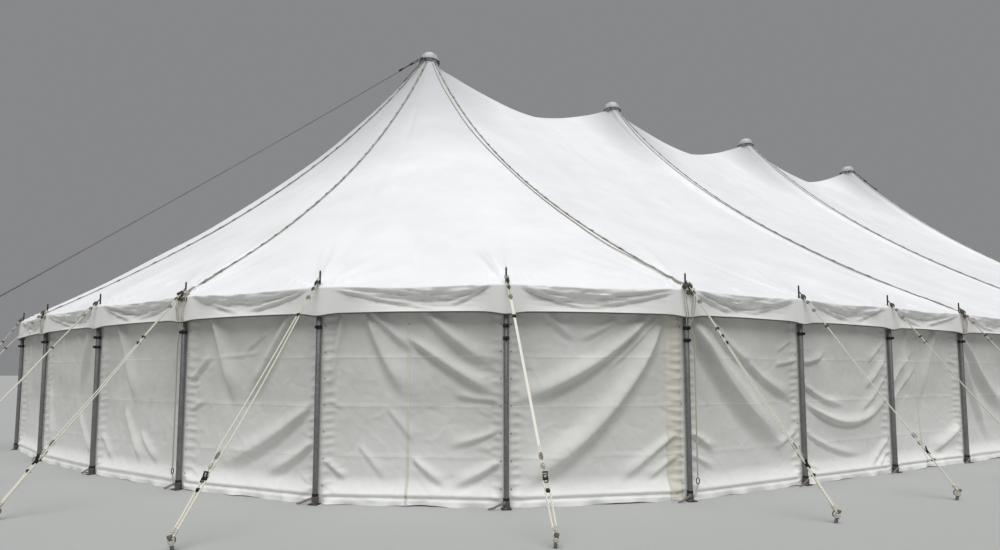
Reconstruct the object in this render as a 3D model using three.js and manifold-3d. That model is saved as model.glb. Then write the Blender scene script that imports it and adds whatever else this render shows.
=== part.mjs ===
// A traditional pole marquee: four king poles, a laced white roof with two round ends, wall curtains,
// side poles with their guys and stakes, and four main guys.
// Millimetres, +Z up. The origin is on the ground under the middle of the tent, and +X runs along the ridge.

import * as THREE from "three";
import { mergeVertices } from "three/addons/utils/BufferGeometryUtils.js";
import Module from "manifold-3d";

// Plan of the tent
const kingCount = 4;
const kingSpacing = 6150;
const sideBaysPerKing = 3;
const halfWidth = 9050;
// The eave bends by these angles, in degrees, at the side poles from the straight side to the tip of an end.
const endBends = [16.6, 16.1, 16.1, 7.8, 4.9, 6.8];
// Counted in side poles from one straight side to the other, the laced seams of a round end stand here.
const endSeams = [0, 3, 5, 7, 9, 12];

// Heights
const eaveHeight = 2440;
const crownHeight = 9800;
const ridgeSag = 850;
const valanceDrop = 310;

// Canvas
const canvasThickness = 12;
const ringOpening = 200;
const slopeSag = 0.53;
const ridgeRounding = 700;
const slopeRows = 7;
const ringRows = 3;
const middleColumnsPerBay = 2;

// Wall curtains
const wallTop = 2400;
const baysPerSet = 3;

// Side poles, their pins and feet
const poleRadius = 30;
const poleTop = 2427;
const pinRadius = 10;
const pinTop = 2640;
const collarRadius = 37;
const collarHeight = 60;
const collarTop = 2010;
const footWidth = 110;
const footReach = 60;
const footThickness = 8;
const webbingTop = 2420;
const webbingDepth = 40;
const webbingThickness = 6;

// Side guys and stakes
const guyRadius = 11;
const guyTop = 2560;
const guySpread = 1450;
const frontGuySlant = 740;
const guyFoot = 100;
const ratchetSize = [46, 110, 34];
const ratchetAlong = 2000;
const stakeRadius = 16;
const stakeHeight = 130;
const nearEndStake = [1760, -230];
// Stakes that are driven off the even line, by pole: how far out of the pole and how far to its right.
const oddStakes = new Map([
  [37, nearEndStake],
  [38, nearEndStake],
  [39, nearEndStake],
  [40, nearEndStake],
  [41, [1380, 350]],
  [0, [1260, 760]],
  [1, [1370, 740]],
]);
const stakeLean = 0.24;

// Sides of the round bars
const tubeSides = 8;
const slimSides = 6;

// King poles, crowns and main guys
const kingRadius = 65;
const kingFootRadius = 170;
const kingFootThickness = 16;
const crownRadius = 280;
const crownThickness = 60;
const domeRadius = 235;
const domeHeight = 240;
const frontMainGuyAngle = -30;
const backMainGuyAngle = 45;
const mainGuySpread = 11160;
const mainGuyFoot = 310;
const mainGuyRadius = 12;
const eyeRadius = 20;
const anchorRadius = 24;
const anchorHeight = 380;

// Touching pieces keep this much room, and no detail is finer than a hair.
const fitGap = 0.3;
const hair = 0.05;

// The canvas hangs just outside the side poles and the wall curtains just inside them.
const eaveOut = poleRadius + fitGap + canvasThickness;
const wallOut = -(poleRadius + fitGap);

const wasm = await Module();
wasm.setup();

const canvas = new THREE.MeshStandardMaterial({ color: 0xeef0f4, roughness: 0.6, metalness: 0 });
const curtain = new THREE.MeshStandardMaterial({ color: 0xd2d2cc, roughness: 0.75, metalness: 0 });
const steel = new THREE.MeshStandardMaterial({ color: 0x7f8284, roughness: 0.45, metalness: 0.8 });
const rope = new THREE.MeshStandardMaterial({ color: 0xd8d0b4, roughness: 0.9, metalness: 0 });
const darkMetal = new THREE.MeshStandardMaterial({ color: 0x35373a, roughness: 0.5, metalness: 0.6 });

const marquee = new THREE.Group();

const centre = new THREE.Vector2(0, 0);

function addPiece(name, geometry, material, place = centre) {
  const piece = new THREE.Mesh(geometry, material.clone());
  piece.name = name;
  piece.position.set(place.x, place.y, 0);
  marquee.add(piece);
}

function toSolid(geometry) {
  const bare = geometry.clone();
  bare.deleteAttribute("normal");
  bare.deleteAttribute("uv");
  const merged = mergeVertices(bare, 0.001);
  return new wasm.Manifold(new wasm.Mesh({
    numProp: 3,
    vertProperties: new Float32Array(merged.attributes.position.array),
    triVerts: new Uint32Array(merged.index.array),
  }));
}

// Edges and slivers smaller than a hair are dropped on the way back.
function toGeometry(solid) {
  const mesh = solid.asOriginal().simplify(hair).getMesh();
  const geometry = new THREE.BufferGeometry();
  geometry.setAttribute("position", new THREE.BufferAttribute(mesh.vertProperties, 3));
  geometry.setIndex(new THREE.BufferAttribute(mesh.triVerts, 1));
  return geometry;
}

// Joins any number of geometries into one body.
function joined(geometries) {
  const solid = geometries.map(toSolid).reduce((all, next) => all.add(next));
  return toGeometry(solid);
}

// The side poles of a quarter end: how far each stands beyond the king pole, and its side position.
function quarterEnd() {
  const headings = [];
  endBends.reduce((sum, bend, index) => {
    headings[index] = THREE.MathUtils.degToRad(sum + bend);
    return sum + bend;
  }, 0);
  const bay = halfWidth / headings.reduce((sum, heading) => sum + Math.sin(heading), 0);
  const poles = [{ beyond: 0, side: -halfWidth }];
  for (const heading of headings) {
    const last = poles[poles.length - 1];
    poles.push({
      beyond: last.beyond + bay * Math.cos(heading),
      side: last.side + bay * Math.sin(heading),
    });
  }
  poles[poles.length - 1].side = 0;
  return poles;
}

// All side poles in order, seen from above against the clock, from the near left corner of the front.
const lastKing = kingSpacing * (kingCount - 1) / 2;
const sideBays = sideBaysPerKing * (kingCount - 1);
const bayLength = kingSpacing / sideBaysPerKing;
const quarter = quarterEnd();
const endBays = 2 * (quarter.length - 1);

function sidePoles() {
  const poles = [];
  for (let bay = 0; bay < sideBays; bay += 1) {
    poles.push(new THREE.Vector2(-lastKing + bay * bayLength, -halfWidth));
  }
  for (let bay = 0; bay < endBays; bay += 1) {
    const back = bay > endBays / 2;
    const place = quarter[back ? endBays - bay : bay];
    poles.push(new THREE.Vector2(lastKing + place.beyond, back ? -place.side : place.side));
  }
  const half = poles.length;
  for (let index = 0; index < half; index += 1) {
    poles.push(poles[index].clone().negate());
  }
  return poles;
}

const poles = sidePoles();
const poleCount = poles.length;

function poleAt(index) {
  return poles[((index % poleCount) + poleCount) % poleCount];
}

function outwardOfBay(index) {
  const along = poleAt(index + 1).clone().sub(poleAt(index)).normalize();
  return new THREE.Vector2(along.y, -along.x);
}

// The direction out of the tent at a pole, with the length that keeps both bays' offsets true.
function mitre(index) {
  const before = outwardOfBay(index - 1);
  const after = outwardOfBay(index);
  return before.clone().add(after).divideScalar(1 + before.dot(after));
}

// A point on the eave line moved out of the tent by an offset. Whole numbers are poles.
function eavePoint(along, offset) {
  const index = Math.floor(along + 1e-9);
  const share = Math.max(0, along - index);
  const start = poleAt(index).clone().addScaledVector(mitre(index), offset);
  if (share < 1e-9) return start;
  const end = poleAt(index + 1).clone().addScaledVector(mitre(index + 1), offset);
  return start.lerp(end, share);
}

// A slab cut into a grid, each corner placed by a rule of column, row and side (1 outside, 0 inside).
function bentSheet(columns, rows, place) {
  const geometry = new THREE.BoxGeometry(1, 1, 1, columns, rows, 1);
  const position = geometry.attributes.position;
  for (let index = 0; index < position.count; index += 1) {
    const column = Math.round((position.getX(index) + 0.5) * columns);
    const row = Math.round((position.getY(index) + 0.5) * rows);
    const side = Math.round(position.getZ(index) + 0.5);
    const point = place(column, row, side);
    position.setXYZ(index, point.x, point.y, point.z);
  }
  return geometry;
}

// Roof height at a share of the way from the crown to the eave: steep at the crown, easing to the eave.
function slopeHeight(topHeight, share) {
  return eaveHeight + (topHeight - eaveHeight) * (1 - share) / (1 + slopeSag * share);
}

// How far along a seam a row of the grid stands, from 1 at the eave to 0 at the crown.
function rowShare(row) {
  const up = (row - 1) / slopeRows;
  return Math.pow(1 - up, 1.6);
}

// The rows of a roof piece: the valance's foot, the eave's edge, then the slope up to the crown.
function roofPoint(eave, inner, row, side, slope) {
  if (row === 0) {
    const edge = side === 1 ? eave : inner;
    return new THREE.Vector3(edge.x, edge.y, eaveHeight - valanceDrop);
  }
  if (row === 1) {
    const edge = side === 1 ? eave : inner;
    return new THREE.Vector3(edge.x, edge.y, eaveHeight - (side === 1 ? 0 : canvasThickness));
  }
  const point = slope(rowShare(row));
  point.z -= side === 1 ? 0 : canvasThickness;
  return point;
}

// Moves the two edge columns of a roof piece apart from their neighbours by half a gap.
function seamShift(column, columns, seam) {
  if (column !== 0 && column !== columns) return new THREE.Vector2(0, 0);
  const across = new THREE.Vector2(-seam.y, seam.x).normalize();
  return across.multiplyScalar(column === 0 ? fitGap / 2 : -fitGap / 2);
}

// The valance's inner face above a seam: on the seam's own line, so that both neighbours end flush.
function innerAtSeam(pole, bay, seam, king) {
  const outward = outwardOfBay(bay);
  const along = seam.clone().normalize();
  const distance = poleAt(pole).clone().sub(king).dot(outward) + eaveOut - canvasThickness;
  return along.multiplyScalar(distance / along.dot(outward)).add(king);
}

const canvasTop = crownHeight - fitGap;

// One laced gore of a round end, between two seams that meet at the crown of the last king pole.
function endGore(first, last) {
  const columns = last - first;
  const king = new THREE.Vector2(Math.sign(poleAt(first + 1).x) * lastKing, 0);
  return bentSheet(columns, slopeRows + 1, (column, row, side) => {
    const along = first + column;
    const seam = eavePoint(along, eaveOut).sub(king);
    const shift = seamShift(column, columns, seam);
    const eave = eavePoint(along, eaveOut).add(shift);
    let inner = eavePoint(along, eaveOut - canvasThickness);
    if (column === 0) inner = innerAtSeam(first, first, seam, king);
    if (column === columns) inner = innerAtSeam(last, last - 1, seam, king);
    inner.add(shift);
    return roofPoint(eave, inner, row, side, (share) => {
      const reach = ringOpening + (seam.length() - ringOpening) * share;
      const plan = seam.clone().setLength(reach).add(king).add(shift);
      return new THREE.Vector3(plan.x, plan.y, slopeHeight(canvasTop, share));
    });
  });
}

// Height of the ridge at a distance from the nearest king pole: it sags between two crowns.
function ridgeHeight(fromKing) {
  const share = Math.max(0, fromKing - ringOpening) / (kingSpacing / 2 - ringOpening);
  return canvasTop - ridgeSag * (1 - Math.pow(1 - share, 1.5));
}

// How far a row of a middle section stands from the ridge line, and how far its ends keep from the king
// poles: down the straight seam first, then round the crown's opening.
function middleRow(row, eaveDistance) {
  if (row <= slopeRows + 1) {
    return { across: ringOpening + (eaveDistance - ringOpening) * rowShare(row), fromKing: 0 };
  }
  const angle = (Math.PI / 2) * (1 - (row - slopeRows - 1) / ringRows);
  return { across: ringOpening * Math.sin(angle), fromKing: ringOpening * Math.cos(angle) };
}

// Height of the canvas between two king poles. It is pitched at the crowns and rounded between them.
function middleHeight(fromKing, across, eaveDistance) {
  const hole = Math.sqrt(Math.max(0, ringOpening ** 2 - fromKing ** 2));
  const round = ridgeRounding * Math.max(0, fromKing - ringOpening) / (kingSpacing / 2);
  const reach = Math.hypot(Math.max(0, across - hole), round) - round;
  const whole = Math.hypot(eaveDistance - hole, round) - round;
  return slopeHeight(ridgeHeight(fromKing), reach / whole);
}

// One middle section, from the front eave over the ridge to the back eave.
function middleSection(king) {
  const left = -lastKing + king * kingSpacing;
  const columns = sideBaysPerKing * middleColumnsPerBay;
  const rows = 2 * (slopeRows + 1 + ringRows);
  return bentSheet(columns, rows, (column, row, side) => {
    const back = row > rows / 2;
    const frontRow = back ? rows - row : row;
    const share = column / columns;
    const along = king * sideBaysPerKing + column / middleColumnsPerBay;
    const shift = new THREE.Vector2(0, 0);
    if (column === 0) shift.x = fitGap / 2;
    if (column === columns) shift.x = -fitGap / 2;
    const eave = eavePoint(along, eaveOut).add(shift);
    const inner = eavePoint(along, eaveOut - canvasThickness).add(shift);
    const splay = eave.x - shift.x - (left + kingSpacing * share);
    if (column === 0 || column === columns) inner.x = eave.x - splay * (1 - inner.y / eave.y);
    const point = roofPoint(eave, inner, frontRow, side, () => {
      const eaveDistance = Math.abs(eave.y);
      const { across, fromKing } = middleRow(frontRow, eaveDistance);
      const x = THREE.MathUtils.lerp(left + fromKing, left + kingSpacing - fromKing, share);
      const nearest = Math.min(x - left, left + kingSpacing - x);
      const height = middleHeight(Math.max(0, nearest), across, eaveDistance);
      return new THREE.Vector3(x + shift.x + splay * across / eaveDistance, -across, height);
    });
    if (back) point.y = -point.y;
    return point;
  });
}

// Cuts the holes that the pole pins pass through.
function withPinHoles(geometry, first, last) {
  let solid = toSolid(geometry);
  for (let index = first; index <= last; index += 1) {
    const pole = poleAt(index);
    const hole = new THREE.CylinderGeometry(pinRadius + fitGap, pinRadius + fitGap, 600, slimSides);
    hole.rotateX(Math.PI / 2);
    hole.translate(pole.x, pole.y, eaveHeight);
    solid = solid.subtract(toSolid(hole));
  }
  return toGeometry(solid);
}

function addRoof() {
  for (let king = 0; king < kingCount - 1; king += 1) {
    const first = king * sideBaysPerKing;
    const opposite = sideBays + endBays + (kingCount - 2 - king) * sideBaysPerKing;
    let sheet = withPinHoles(middleSection(king), first, first + sideBaysPerKing);
    sheet = withPinHoles(sheet, opposite, opposite + sideBaysPerKing);
    addPiece(`roof_middle_${king + 1}`, sheet, canvas);
  }
  for (const [end, start] of [["far", sideBays], ["near", 2 * sideBays + endBays]]) {
    for (let gore = 0; gore < endSeams.length - 1; gore += 1) {
      const first = start + endSeams[gore];
      const last = start + endSeams[gore + 1];
      addPiece(`roof_${end}_gore_${gore + 1}`, withPinHoles(endGore(first, last), first, last), canvas);
    }
  }
}

// A wall curtain hangs against the inside of its side poles, from under the eave down to the ground.
function wallCurtain(first, last) {
  const columns = last - first;
  return bentSheet(columns, 1, (column, row, side) => {
    const offset = side === 1 ? wallOut : wallOut - canvasThickness;
    const point = eavePoint(first + column, offset);
    const along = poleAt(first + 1).clone().sub(poleAt(first));
    const lastBay = poleAt(last).clone().sub(poleAt(last - 1));
    if (column === 0) point.add(along.setLength(fitGap / 2));
    if (column === columns) point.sub(lastBay.setLength(fitGap / 2));
    return new THREE.Vector3(point.x, point.y, row === 1 ? wallTop : 0);
  });
}

// A straight bar between two points, with a round section.
function bar(from, to, radius, sides) {
  const length = from.distanceTo(to);
  const geometry = new THREE.CylinderGeometry(radius, radius, length, sides);
  geometry.rotateX(Math.PI / 2);
  const turn = new THREE.Quaternion().setFromUnitVectors(
    new THREE.Vector3(0, 0, 1),
    to.clone().sub(from).normalize(),
  );
  geometry.applyQuaternion(turn);
  const middle = from.clone().add(to).multiplyScalar(0.5);
  geometry.translate(middle.x, middle.y, middle.z);
  return geometry;
}

// A stake driven at a lean away from the tent, from the ground up.
function stake(foot, out, radius, height) {
  const geometry = new THREE.CylinderGeometry(radius, radius, height, slimSides);
  geometry.rotateX(Math.PI / 2);
  geometry.rotateZ(Math.atan2(out.y, out.x));
  geometry.translate(0, 0, height / 2);
  const position = geometry.attributes.position;
  for (let index = 0; index < position.count; index += 1) {
    const z = position.getZ(index);
    position.setX(index, position.getX(index) + out.x * stakeLean * z);
    position.setY(index, position.getY(index) + out.y * stakeLean * z);
  }
  geometry.translate(foot.x, foot.y, 0);
  return geometry;
}

function upright(place, radius, low, high, sides, turn) {
  const geometry = new THREE.CylinderGeometry(radius, radius, high - low, sides);
  geometry.rotateX(Math.PI / 2);
  geometry.rotateZ(turn);
  geometry.translate(place.x, place.y, (low + high) / 2);
  return geometry;
}

// A stake's distance out of its pole and to the right of it. The front guys all slant towards the far end.
function stakeOffset(index) {
  if (oddStakes.has(index)) return oddStakes.get(index);
  return [guySpread, index <= sideBays ? frontGuySlant : 0];
}

// One side pole with its pin, collar and foot plate, and the guy that runs from the pin to a stake.
// All of it is placed from the set's own origin.
function poleWithGuy(index, origin) {
  const pole = poleAt(index).clone().sub(origin);
  const out = mitre(index).normalize();
  const turn = Math.atan2(out.y, out.x);
  const tube = upright(pole, poleRadius, 0, poleTop, tubeSides, turn + Math.PI / 2);
  const pin = upright(pole, pinRadius, poleTop - 20, pinTop, slimSides, 0);
  const collar = new THREE.BoxGeometry(collarRadius + poleRadius - 1, 2 * collarRadius, collarHeight);
  collar.translate((collarRadius - poleRadius + 1) / 2, 0, collarTop - collarHeight / 2);
  collar.rotateZ(turn);
  collar.translate(pole.x, pole.y, 0);
  const foot = new THREE.BoxGeometry(footReach + poleRadius - 1, footWidth, footThickness);
  foot.translate((footReach - poleRadius + 1) / 2, 0, footThickness / 2);
  foot.rotateZ(turn);
  foot.translate(pole.x, pole.y, 0);

  const head = new THREE.Vector3(pole.x, pole.y, guyTop);
  const [outward, aside] = stakeOffset(index);
  const tail = new THREE.Vector3(
    pole.x + out.x * outward - out.y * aside,
    pole.y + out.y * outward + out.x * aside,
    guyFoot,
  );
  const guy = bar(head, tail, guyRadius, slimSides);
  const guyPlan = new THREE.Vector2(tail.x - head.x, tail.y - head.y).normalize();
  const stakeFoot = new THREE.Vector2(tail.x, tail.y).addScaledVector(guyPlan, -stakeLean * guyFoot);
  const peg = stake(stakeFoot, guyPlan, stakeRadius, stakeHeight);

  const ratchet = new THREE.BoxGeometry(...ratchetSize);
  const downGuy = tail.clone().sub(head).normalize();
  ratchet.rotateX(Math.asin(downGuy.z));
  ratchet.rotateZ(Math.atan2(guyPlan.y, guyPlan.x) - Math.PI / 2);
  const spot = head.clone().addScaledVector(downGuy, ratchetAlong);
  ratchet.translate(spot.x, spot.y, spot.z);
  return [tube, pin, collar, foot, guy, peg, ratchet];
}

// The webbing under the eave that ties the poles of a set together and reaches the next set's first pole.
function eaveWebbing(index, toNextSet, origin) {
  const from = poleAt(index).clone().sub(origin);
  const to = poleAt(index + 1).clone().sub(origin);
  const along = to.clone().sub(from).normalize();
  const length = from.distanceTo(to) - (toNextSet ? poleRadius + fitGap : 0);
  const strip = new THREE.BoxGeometry(length, webbingThickness, webbingDepth);
  strip.translate(length / 2, 0, webbingTop - webbingDepth / 2);
  strip.rotateZ(Math.atan2(along.y, along.x));
  strip.translate(from.x, from.y, 0);
  return strip;
}

// The sets of three bays round the tent, named for the side that they stand on.
function setNames() {
  const sideSets = sideBays / baysPerSet;
  const endSets = endBays / baysPerSet;
  const names = [];
  for (const [side, count] of [["front", sideSets], ["far_end", endSets], ["back", sideSets],
    ["near_end", endSets]]) {
    for (let number = 1; number <= count; number += 1) names.push(`${side}_${number}`);
  }
  return names;
}

function addWallsAndPoles() {
  setNames().forEach((name, set) => {
    const first = set * baysPerSet;
    addPiece(`wall_curtain_${name}`, wallCurtain(first, first + baysPerSet), curtain);
    const origin = poleAt(first + 1);
    const pieces = [];
    for (let index = first; index < first + baysPerSet; index += 1) {
      pieces.push(...poleWithGuy(index, origin));
      pieces.push(eaveWebbing(index, index === first + baysPerSet - 1, origin));
    }
    addPiece(`side_poles_${name}`, joined(pieces), steel, origin);
  });
}

function addKingPoles() {
  for (let king = 0; king < kingCount; king += 1) {
    const place = new THREE.Vector2(-lastKing + king * kingSpacing, 0);
    const mast = upright(centre, kingRadius, 0, crownHeight - fitGap, 16, 0);
    const foot = upright(centre, kingFootRadius, 0, kingFootThickness, 16, 0);
    addPiece(`king_pole_${king + 1}`, joined([mast, foot]), steel, place);

    const profile = [new THREE.Vector2(0, 0), new THREE.Vector2(crownRadius, 0)];
    profile.push(new THREE.Vector2(crownRadius, crownThickness));
    const domeSteps = 4;
    for (let step = 0; step < domeSteps; step += 1) {
      const angle = (Math.PI / 2) * (step / domeSteps);
      profile.push(new THREE.Vector2(
        domeRadius * Math.cos(angle),
        crownThickness + domeHeight * Math.sin(angle),
      ));
    }
    profile.push(new THREE.Vector2(0, crownThickness + domeHeight));
    const crown = new THREE.LatheGeometry(profile, 24);
    crown.rotateX(Math.PI / 2);
    crown.translate(0, 0, crownHeight);
    addPiece(`crown_${king + 1}`, joined([crown]), darkMetal, place);
  }
}

// A main guy runs from an eye beside the end crown down to its anchor stake beyond the round end.
function addMainGuy(name, endSide, degrees) {
  const angle = THREE.MathUtils.degToRad(degrees);
  const out = new THREE.Vector2(endSide * Math.cos(angle), Math.sin(angle));
  const eyeDistance = crownRadius + fitGap + eyeRadius;
  const eyePlace = new THREE.Vector2(endSide * lastKing, 0).addScaledVector(out, eyeDistance);
  const eye = upright(centre, eyeRadius, crownHeight, crownHeight + crownThickness, 12, 0);
  const head = new THREE.Vector3(0, 0, crownHeight + crownThickness / 2);
  const tailPlan = out.clone().multiplyScalar(mainGuySpread - eyeDistance);
  const tail = new THREE.Vector3(tailPlan.x, tailPlan.y, mainGuyFoot);
  const stakeFoot = tailPlan.clone().addScaledVector(out, -stakeLean * mainGuyFoot);
  const anchor = stake(stakeFoot, out, anchorRadius, anchorHeight);
  const pieces = [eye, bar(head, tail, mainGuyRadius, slimSides), anchor];
  addPiece(`main_guy_${name}`, joined(pieces), rope, eyePlace);
}

addRoof();
addWallsAndPoles();
addKingPoles();
addMainGuy("near_front", -1, frontMainGuyAngle);
addMainGuy("near_back", -1, backMainGuyAngle);
addMainGuy("far_front", 1, frontMainGuyAngle);
addMainGuy("far_back", 1, backMainGuyAngle);

export default marquee;
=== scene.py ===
"""A traditional pole marquee: king poles, a laced canvas roof, side poles, guys and wall curtains.

Metres, +Z up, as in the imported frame: +X runs along the ridge and the front faces -Y.
"""

import math

import bmesh
import bpy
import numpy as np
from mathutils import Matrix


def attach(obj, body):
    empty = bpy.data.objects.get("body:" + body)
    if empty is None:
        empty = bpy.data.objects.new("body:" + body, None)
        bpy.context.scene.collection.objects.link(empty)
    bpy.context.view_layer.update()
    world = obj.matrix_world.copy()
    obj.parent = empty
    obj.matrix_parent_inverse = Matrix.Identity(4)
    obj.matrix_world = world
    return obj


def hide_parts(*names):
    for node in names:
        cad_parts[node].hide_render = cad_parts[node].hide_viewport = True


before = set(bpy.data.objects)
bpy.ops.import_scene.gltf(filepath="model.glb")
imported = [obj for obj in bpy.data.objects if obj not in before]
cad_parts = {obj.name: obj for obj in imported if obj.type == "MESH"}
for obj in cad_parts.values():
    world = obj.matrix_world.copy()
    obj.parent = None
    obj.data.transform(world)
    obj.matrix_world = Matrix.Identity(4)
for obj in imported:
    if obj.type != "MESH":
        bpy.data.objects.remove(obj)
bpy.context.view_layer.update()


# Camera, floor and light
# The camera stands at eye height off the near left corner of the front, looking a little up at the tent.
# The picture is the lower cut of a taller frame, so the lens is shifted up by a small share of its width.
# The light is that of an overcast day: a pale sky all round and a very wide, soft light from above.
EYE = (-14.115, -13.89, 1.46)
EYE_YAW = math.radians(63.16)
EYE_PITCH = math.radians(4.07)
SENSOR_WIDTH = 36.0
FOCAL_SHARE = 0.5599
LENS_SHIFT = 0.0583
FLOOR_HALF = 400.0
SKY_STRENGTH = 0.35
ZENITH_ANGLE = math.radians(62)
ZENITH_STRENGTH = 2.82
ZENITH_TURN = (math.radians(20), math.radians(-9), 0)


def linear(colour):
    """An sRGB hex colour as linear RGBA: each channel by the sRGB curve, with full alpha."""
    channels = [int(colour[i:i + 2], 16) / 255 for i in (1, 3, 5)]
    return [c / 12.92 if c <= 0.04045 else ((c + 0.055) / 1.055) ** 2.4 for c in channels] + [1.0]


def add_node(material, kind, links=None, ramp=(), **settings):
    """Adds a node. Settings name its properties or, as socket_NAME, a socket's value. Links name the sockets
    that the output of another node feeds. A ramp is its two stops, each a place and an sRGB hex colour."""
    node = material.node_tree.nodes.new(kind)
    for number, (position, colour) in enumerate(ramp):
        node.color_ramp.elements[number].position = position
        node.color_ramp.elements[number].color = linear(colour)
    for key, value in settings.items():
        if not key.startswith("socket_"):
            setattr(node, key, value)
            continue
        name = key[len("socket_"):]
        socket = node.inputs[int(name)] if name.isdigit() else node.inputs[name.replace("_", " ")]
        socket.default_value = value
    for name, output in (links or {}).items():
        material.node_tree.links.new(output, node.inputs[name])
    return node


def new_material(name):
    """An empty node material with its output, to which a shader is added."""
    material = bpy.data.materials.new(name)
    material.use_nodes = True
    material.node_tree.nodes.clear()
    return material


def finish_material(material, shader):
    """Links the finished shader to the material's output."""
    add_node(material, "ShaderNodeOutputMaterial", {"Surface": shader.outputs[0]})
    return material


def blotted_material(name, blot, ramp, detail=2.0, **finish):
    """A material whose colour wanders between two tones in soft blots of about so many metres."""
    material = new_material(name)
    place = add_node(material, "ShaderNodeTexCoord")
    blots = add_node(material, "ShaderNodeTexNoise", {"Vector": place.outputs["Object"]},
                     socket_Scale=1 / blot, socket_Detail=detail)
    tone = add_node(material, "ShaderNodeValToRGB", {"Fac": blots.outputs["Fac"]}, ramp=ramp)
    return finish_material(material, add_node(
        material, "ShaderNodeBsdfPrincipled", {"Base Color": tone.outputs["Color"]}, **finish))


camera_data = bpy.data.cameras.new("eye")
camera_data.sensor_width = SENSOR_WIDTH
camera_data.lens = SENSOR_WIDTH * FOCAL_SHARE
camera_data.shift_y = LENS_SHIFT
camera_data.clip_end = 1000
camera = bpy.data.objects.new("eye", camera_data)
camera.location = EYE
camera.rotation_euler = (math.pi / 2 + EYE_PITCH, 0, EYE_YAW - math.pi / 2)
bpy.context.scene.collection.objects.link(camera)
bpy.context.scene.camera = camera

sky = bpy.data.worlds.new("overcast")
sky.use_nodes = True
sky.node_tree.nodes["Background"].inputs["Color"].default_value = linear("#DADBDE")
sky.node_tree.nodes["Background"].inputs["Strength"].default_value = SKY_STRENGTH
bpy.context.scene.world = sky
bpy.context.scene.view_settings.view_transform = "Standard"

zenith_data = bpy.data.lights.new("zenith", "SUN")
zenith_data.angle = ZENITH_ANGLE
zenith_data.energy = ZENITH_STRENGTH
zenith = bpy.data.objects.new("zenith", zenith_data)
zenith.rotation_euler = ZENITH_TURN
bpy.context.scene.collection.objects.link(zenith)

floor_corners = [(x * FLOOR_HALF, y * FLOOR_HALF, 0) for x, y in ((-1, -1), (1, -1), (1, 1), (-1, 1))]
floor_mesh = bpy.data.meshes.new("floor")
floor_mesh.from_pydata(floor_corners, [], [(0, 1, 2, 3)])
floor_paint = new_material("plain_floor")
finish_material(floor_paint, add_node(
    floor_paint, "ShaderNodeBsdfPrincipled", socket_Base_Color=linear("#A9ABA9"), socket_Roughness=0.9))
floor_mesh.materials.append(floor_paint)
floor = bpy.data.objects.new("floor", floor_mesh)
bpy.context.scene.collection.objects.link(floor)


# King poles and crowns
# Four steel masts stand in a row along the ridge. Each carries a crown: a forged ring on four spokes that the
# canvas is shackled to, and a ribbed, moulded cap on a round hub that keeps the rain out.
KING_COUNT = 4
KING_SPACING = 6.15
LAST_KING = KING_SPACING * (KING_COUNT - 1) / 2
CROWN_HEIGHT = 9.8
RING_RADIUS = 0.262
RING_THICKNESS = 0.011
RING_HEIGHT = 0.03
CAP_RADIUS = 0.25
CAP_HEIGHT = 0.24
CAP_SKIRT = 0.045
CAP_RIBS = 8
CAP_RIB_DEPTH = 0.012
HUB_RADIUS = 0.235
HUB_HEIGHT = 0.052
CROWN_SHACKLES = 4
SHACKLE_RADIUS = 0.03
SHACKLE_THICKNESS = 0.007
SPIRE_HEIGHT = 0.02
ROUND_SIDES = 48
SHARP_ANGLE = math.radians(42)
WELD = 1e-5


def grid_faces(rows, columns, around=False):
    """The four-cornered faces of a grid of points, row by row. Around joins the last column to the first."""
    cells = columns if around else columns - 1
    row, column = np.meshgrid(np.arange(rows - 1), np.arange(cells), indexing="ij")
    following = (column + 1) % columns
    corners = [row * columns + column, row * columns + following,
               (row + 1) * columns + following, (row + 1) * columns + column]
    return np.stack(corners, axis=-1).reshape(-1, 4)


def circle(sides):
    """A unit circle of so many points, counted against the clock."""
    angle = np.arange(sides) * 2 * np.pi / sides
    return np.stack([np.cos(angle), np.sin(angle)], axis=-1)


def loft(path, scale, section=None, up=(0, 0, 1), closed=False):
    """A section carried along a path and closed at both ends, or joined end to end.
    Point = path + scale * (x * side + y * over), where side = direction x up and over = side x direction.
    Beside the points go the lay of the surface (metres round, metres along) and the faces."""
    path = np.asarray(path, float)
    section = circle(8) if section is None else np.asarray(section, float)
    scale = np.broadcast_to(np.asarray(scale, float), (len(path),))
    if closed:
        direction = np.roll(path, -1, 0) - np.roll(path, 1, 0)
    else:
        direction = np.gradient(path, axis=0)
    direction = direction / np.linalg.norm(direction, axis=1, keepdims=True)
    side = np.cross(direction, np.asarray(up, float))
    side = side / np.linalg.norm(side, axis=1, keepdims=True)
    over = np.cross(side, direction)
    steps = np.linalg.norm(np.diff(path, axis=0), axis=1)
    along = np.concatenate([[0], np.cumsum(steps)])
    if not closed:
        path, side, over = (np.concatenate([a[:1], a, a[-1:]]) for a in (path, side, over))
        scale = np.concatenate([[0], scale, [0]])
        along = np.concatenate([along[:1], along, along[-1:]])
    ring = section[None, :, 0, None] * side[:, None] + section[None, :, 1, None] * over[:, None]
    points = path[:, None] + scale[:, None, None] * ring
    count = len(section)
    if closed:
        faces = grid_faces(len(path) + 1, count, True) % (len(path) * count)
    else:
        faces = grid_faces(len(path), count, True)
    lay = np.zeros((len(path), count, 3))
    lay[..., 0] = np.arange(count) / count
    lay[..., 1] = along[:, None]
    return points.reshape(-1, 3), lay.reshape(-1, 3), faces[:, ::-1]


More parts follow.
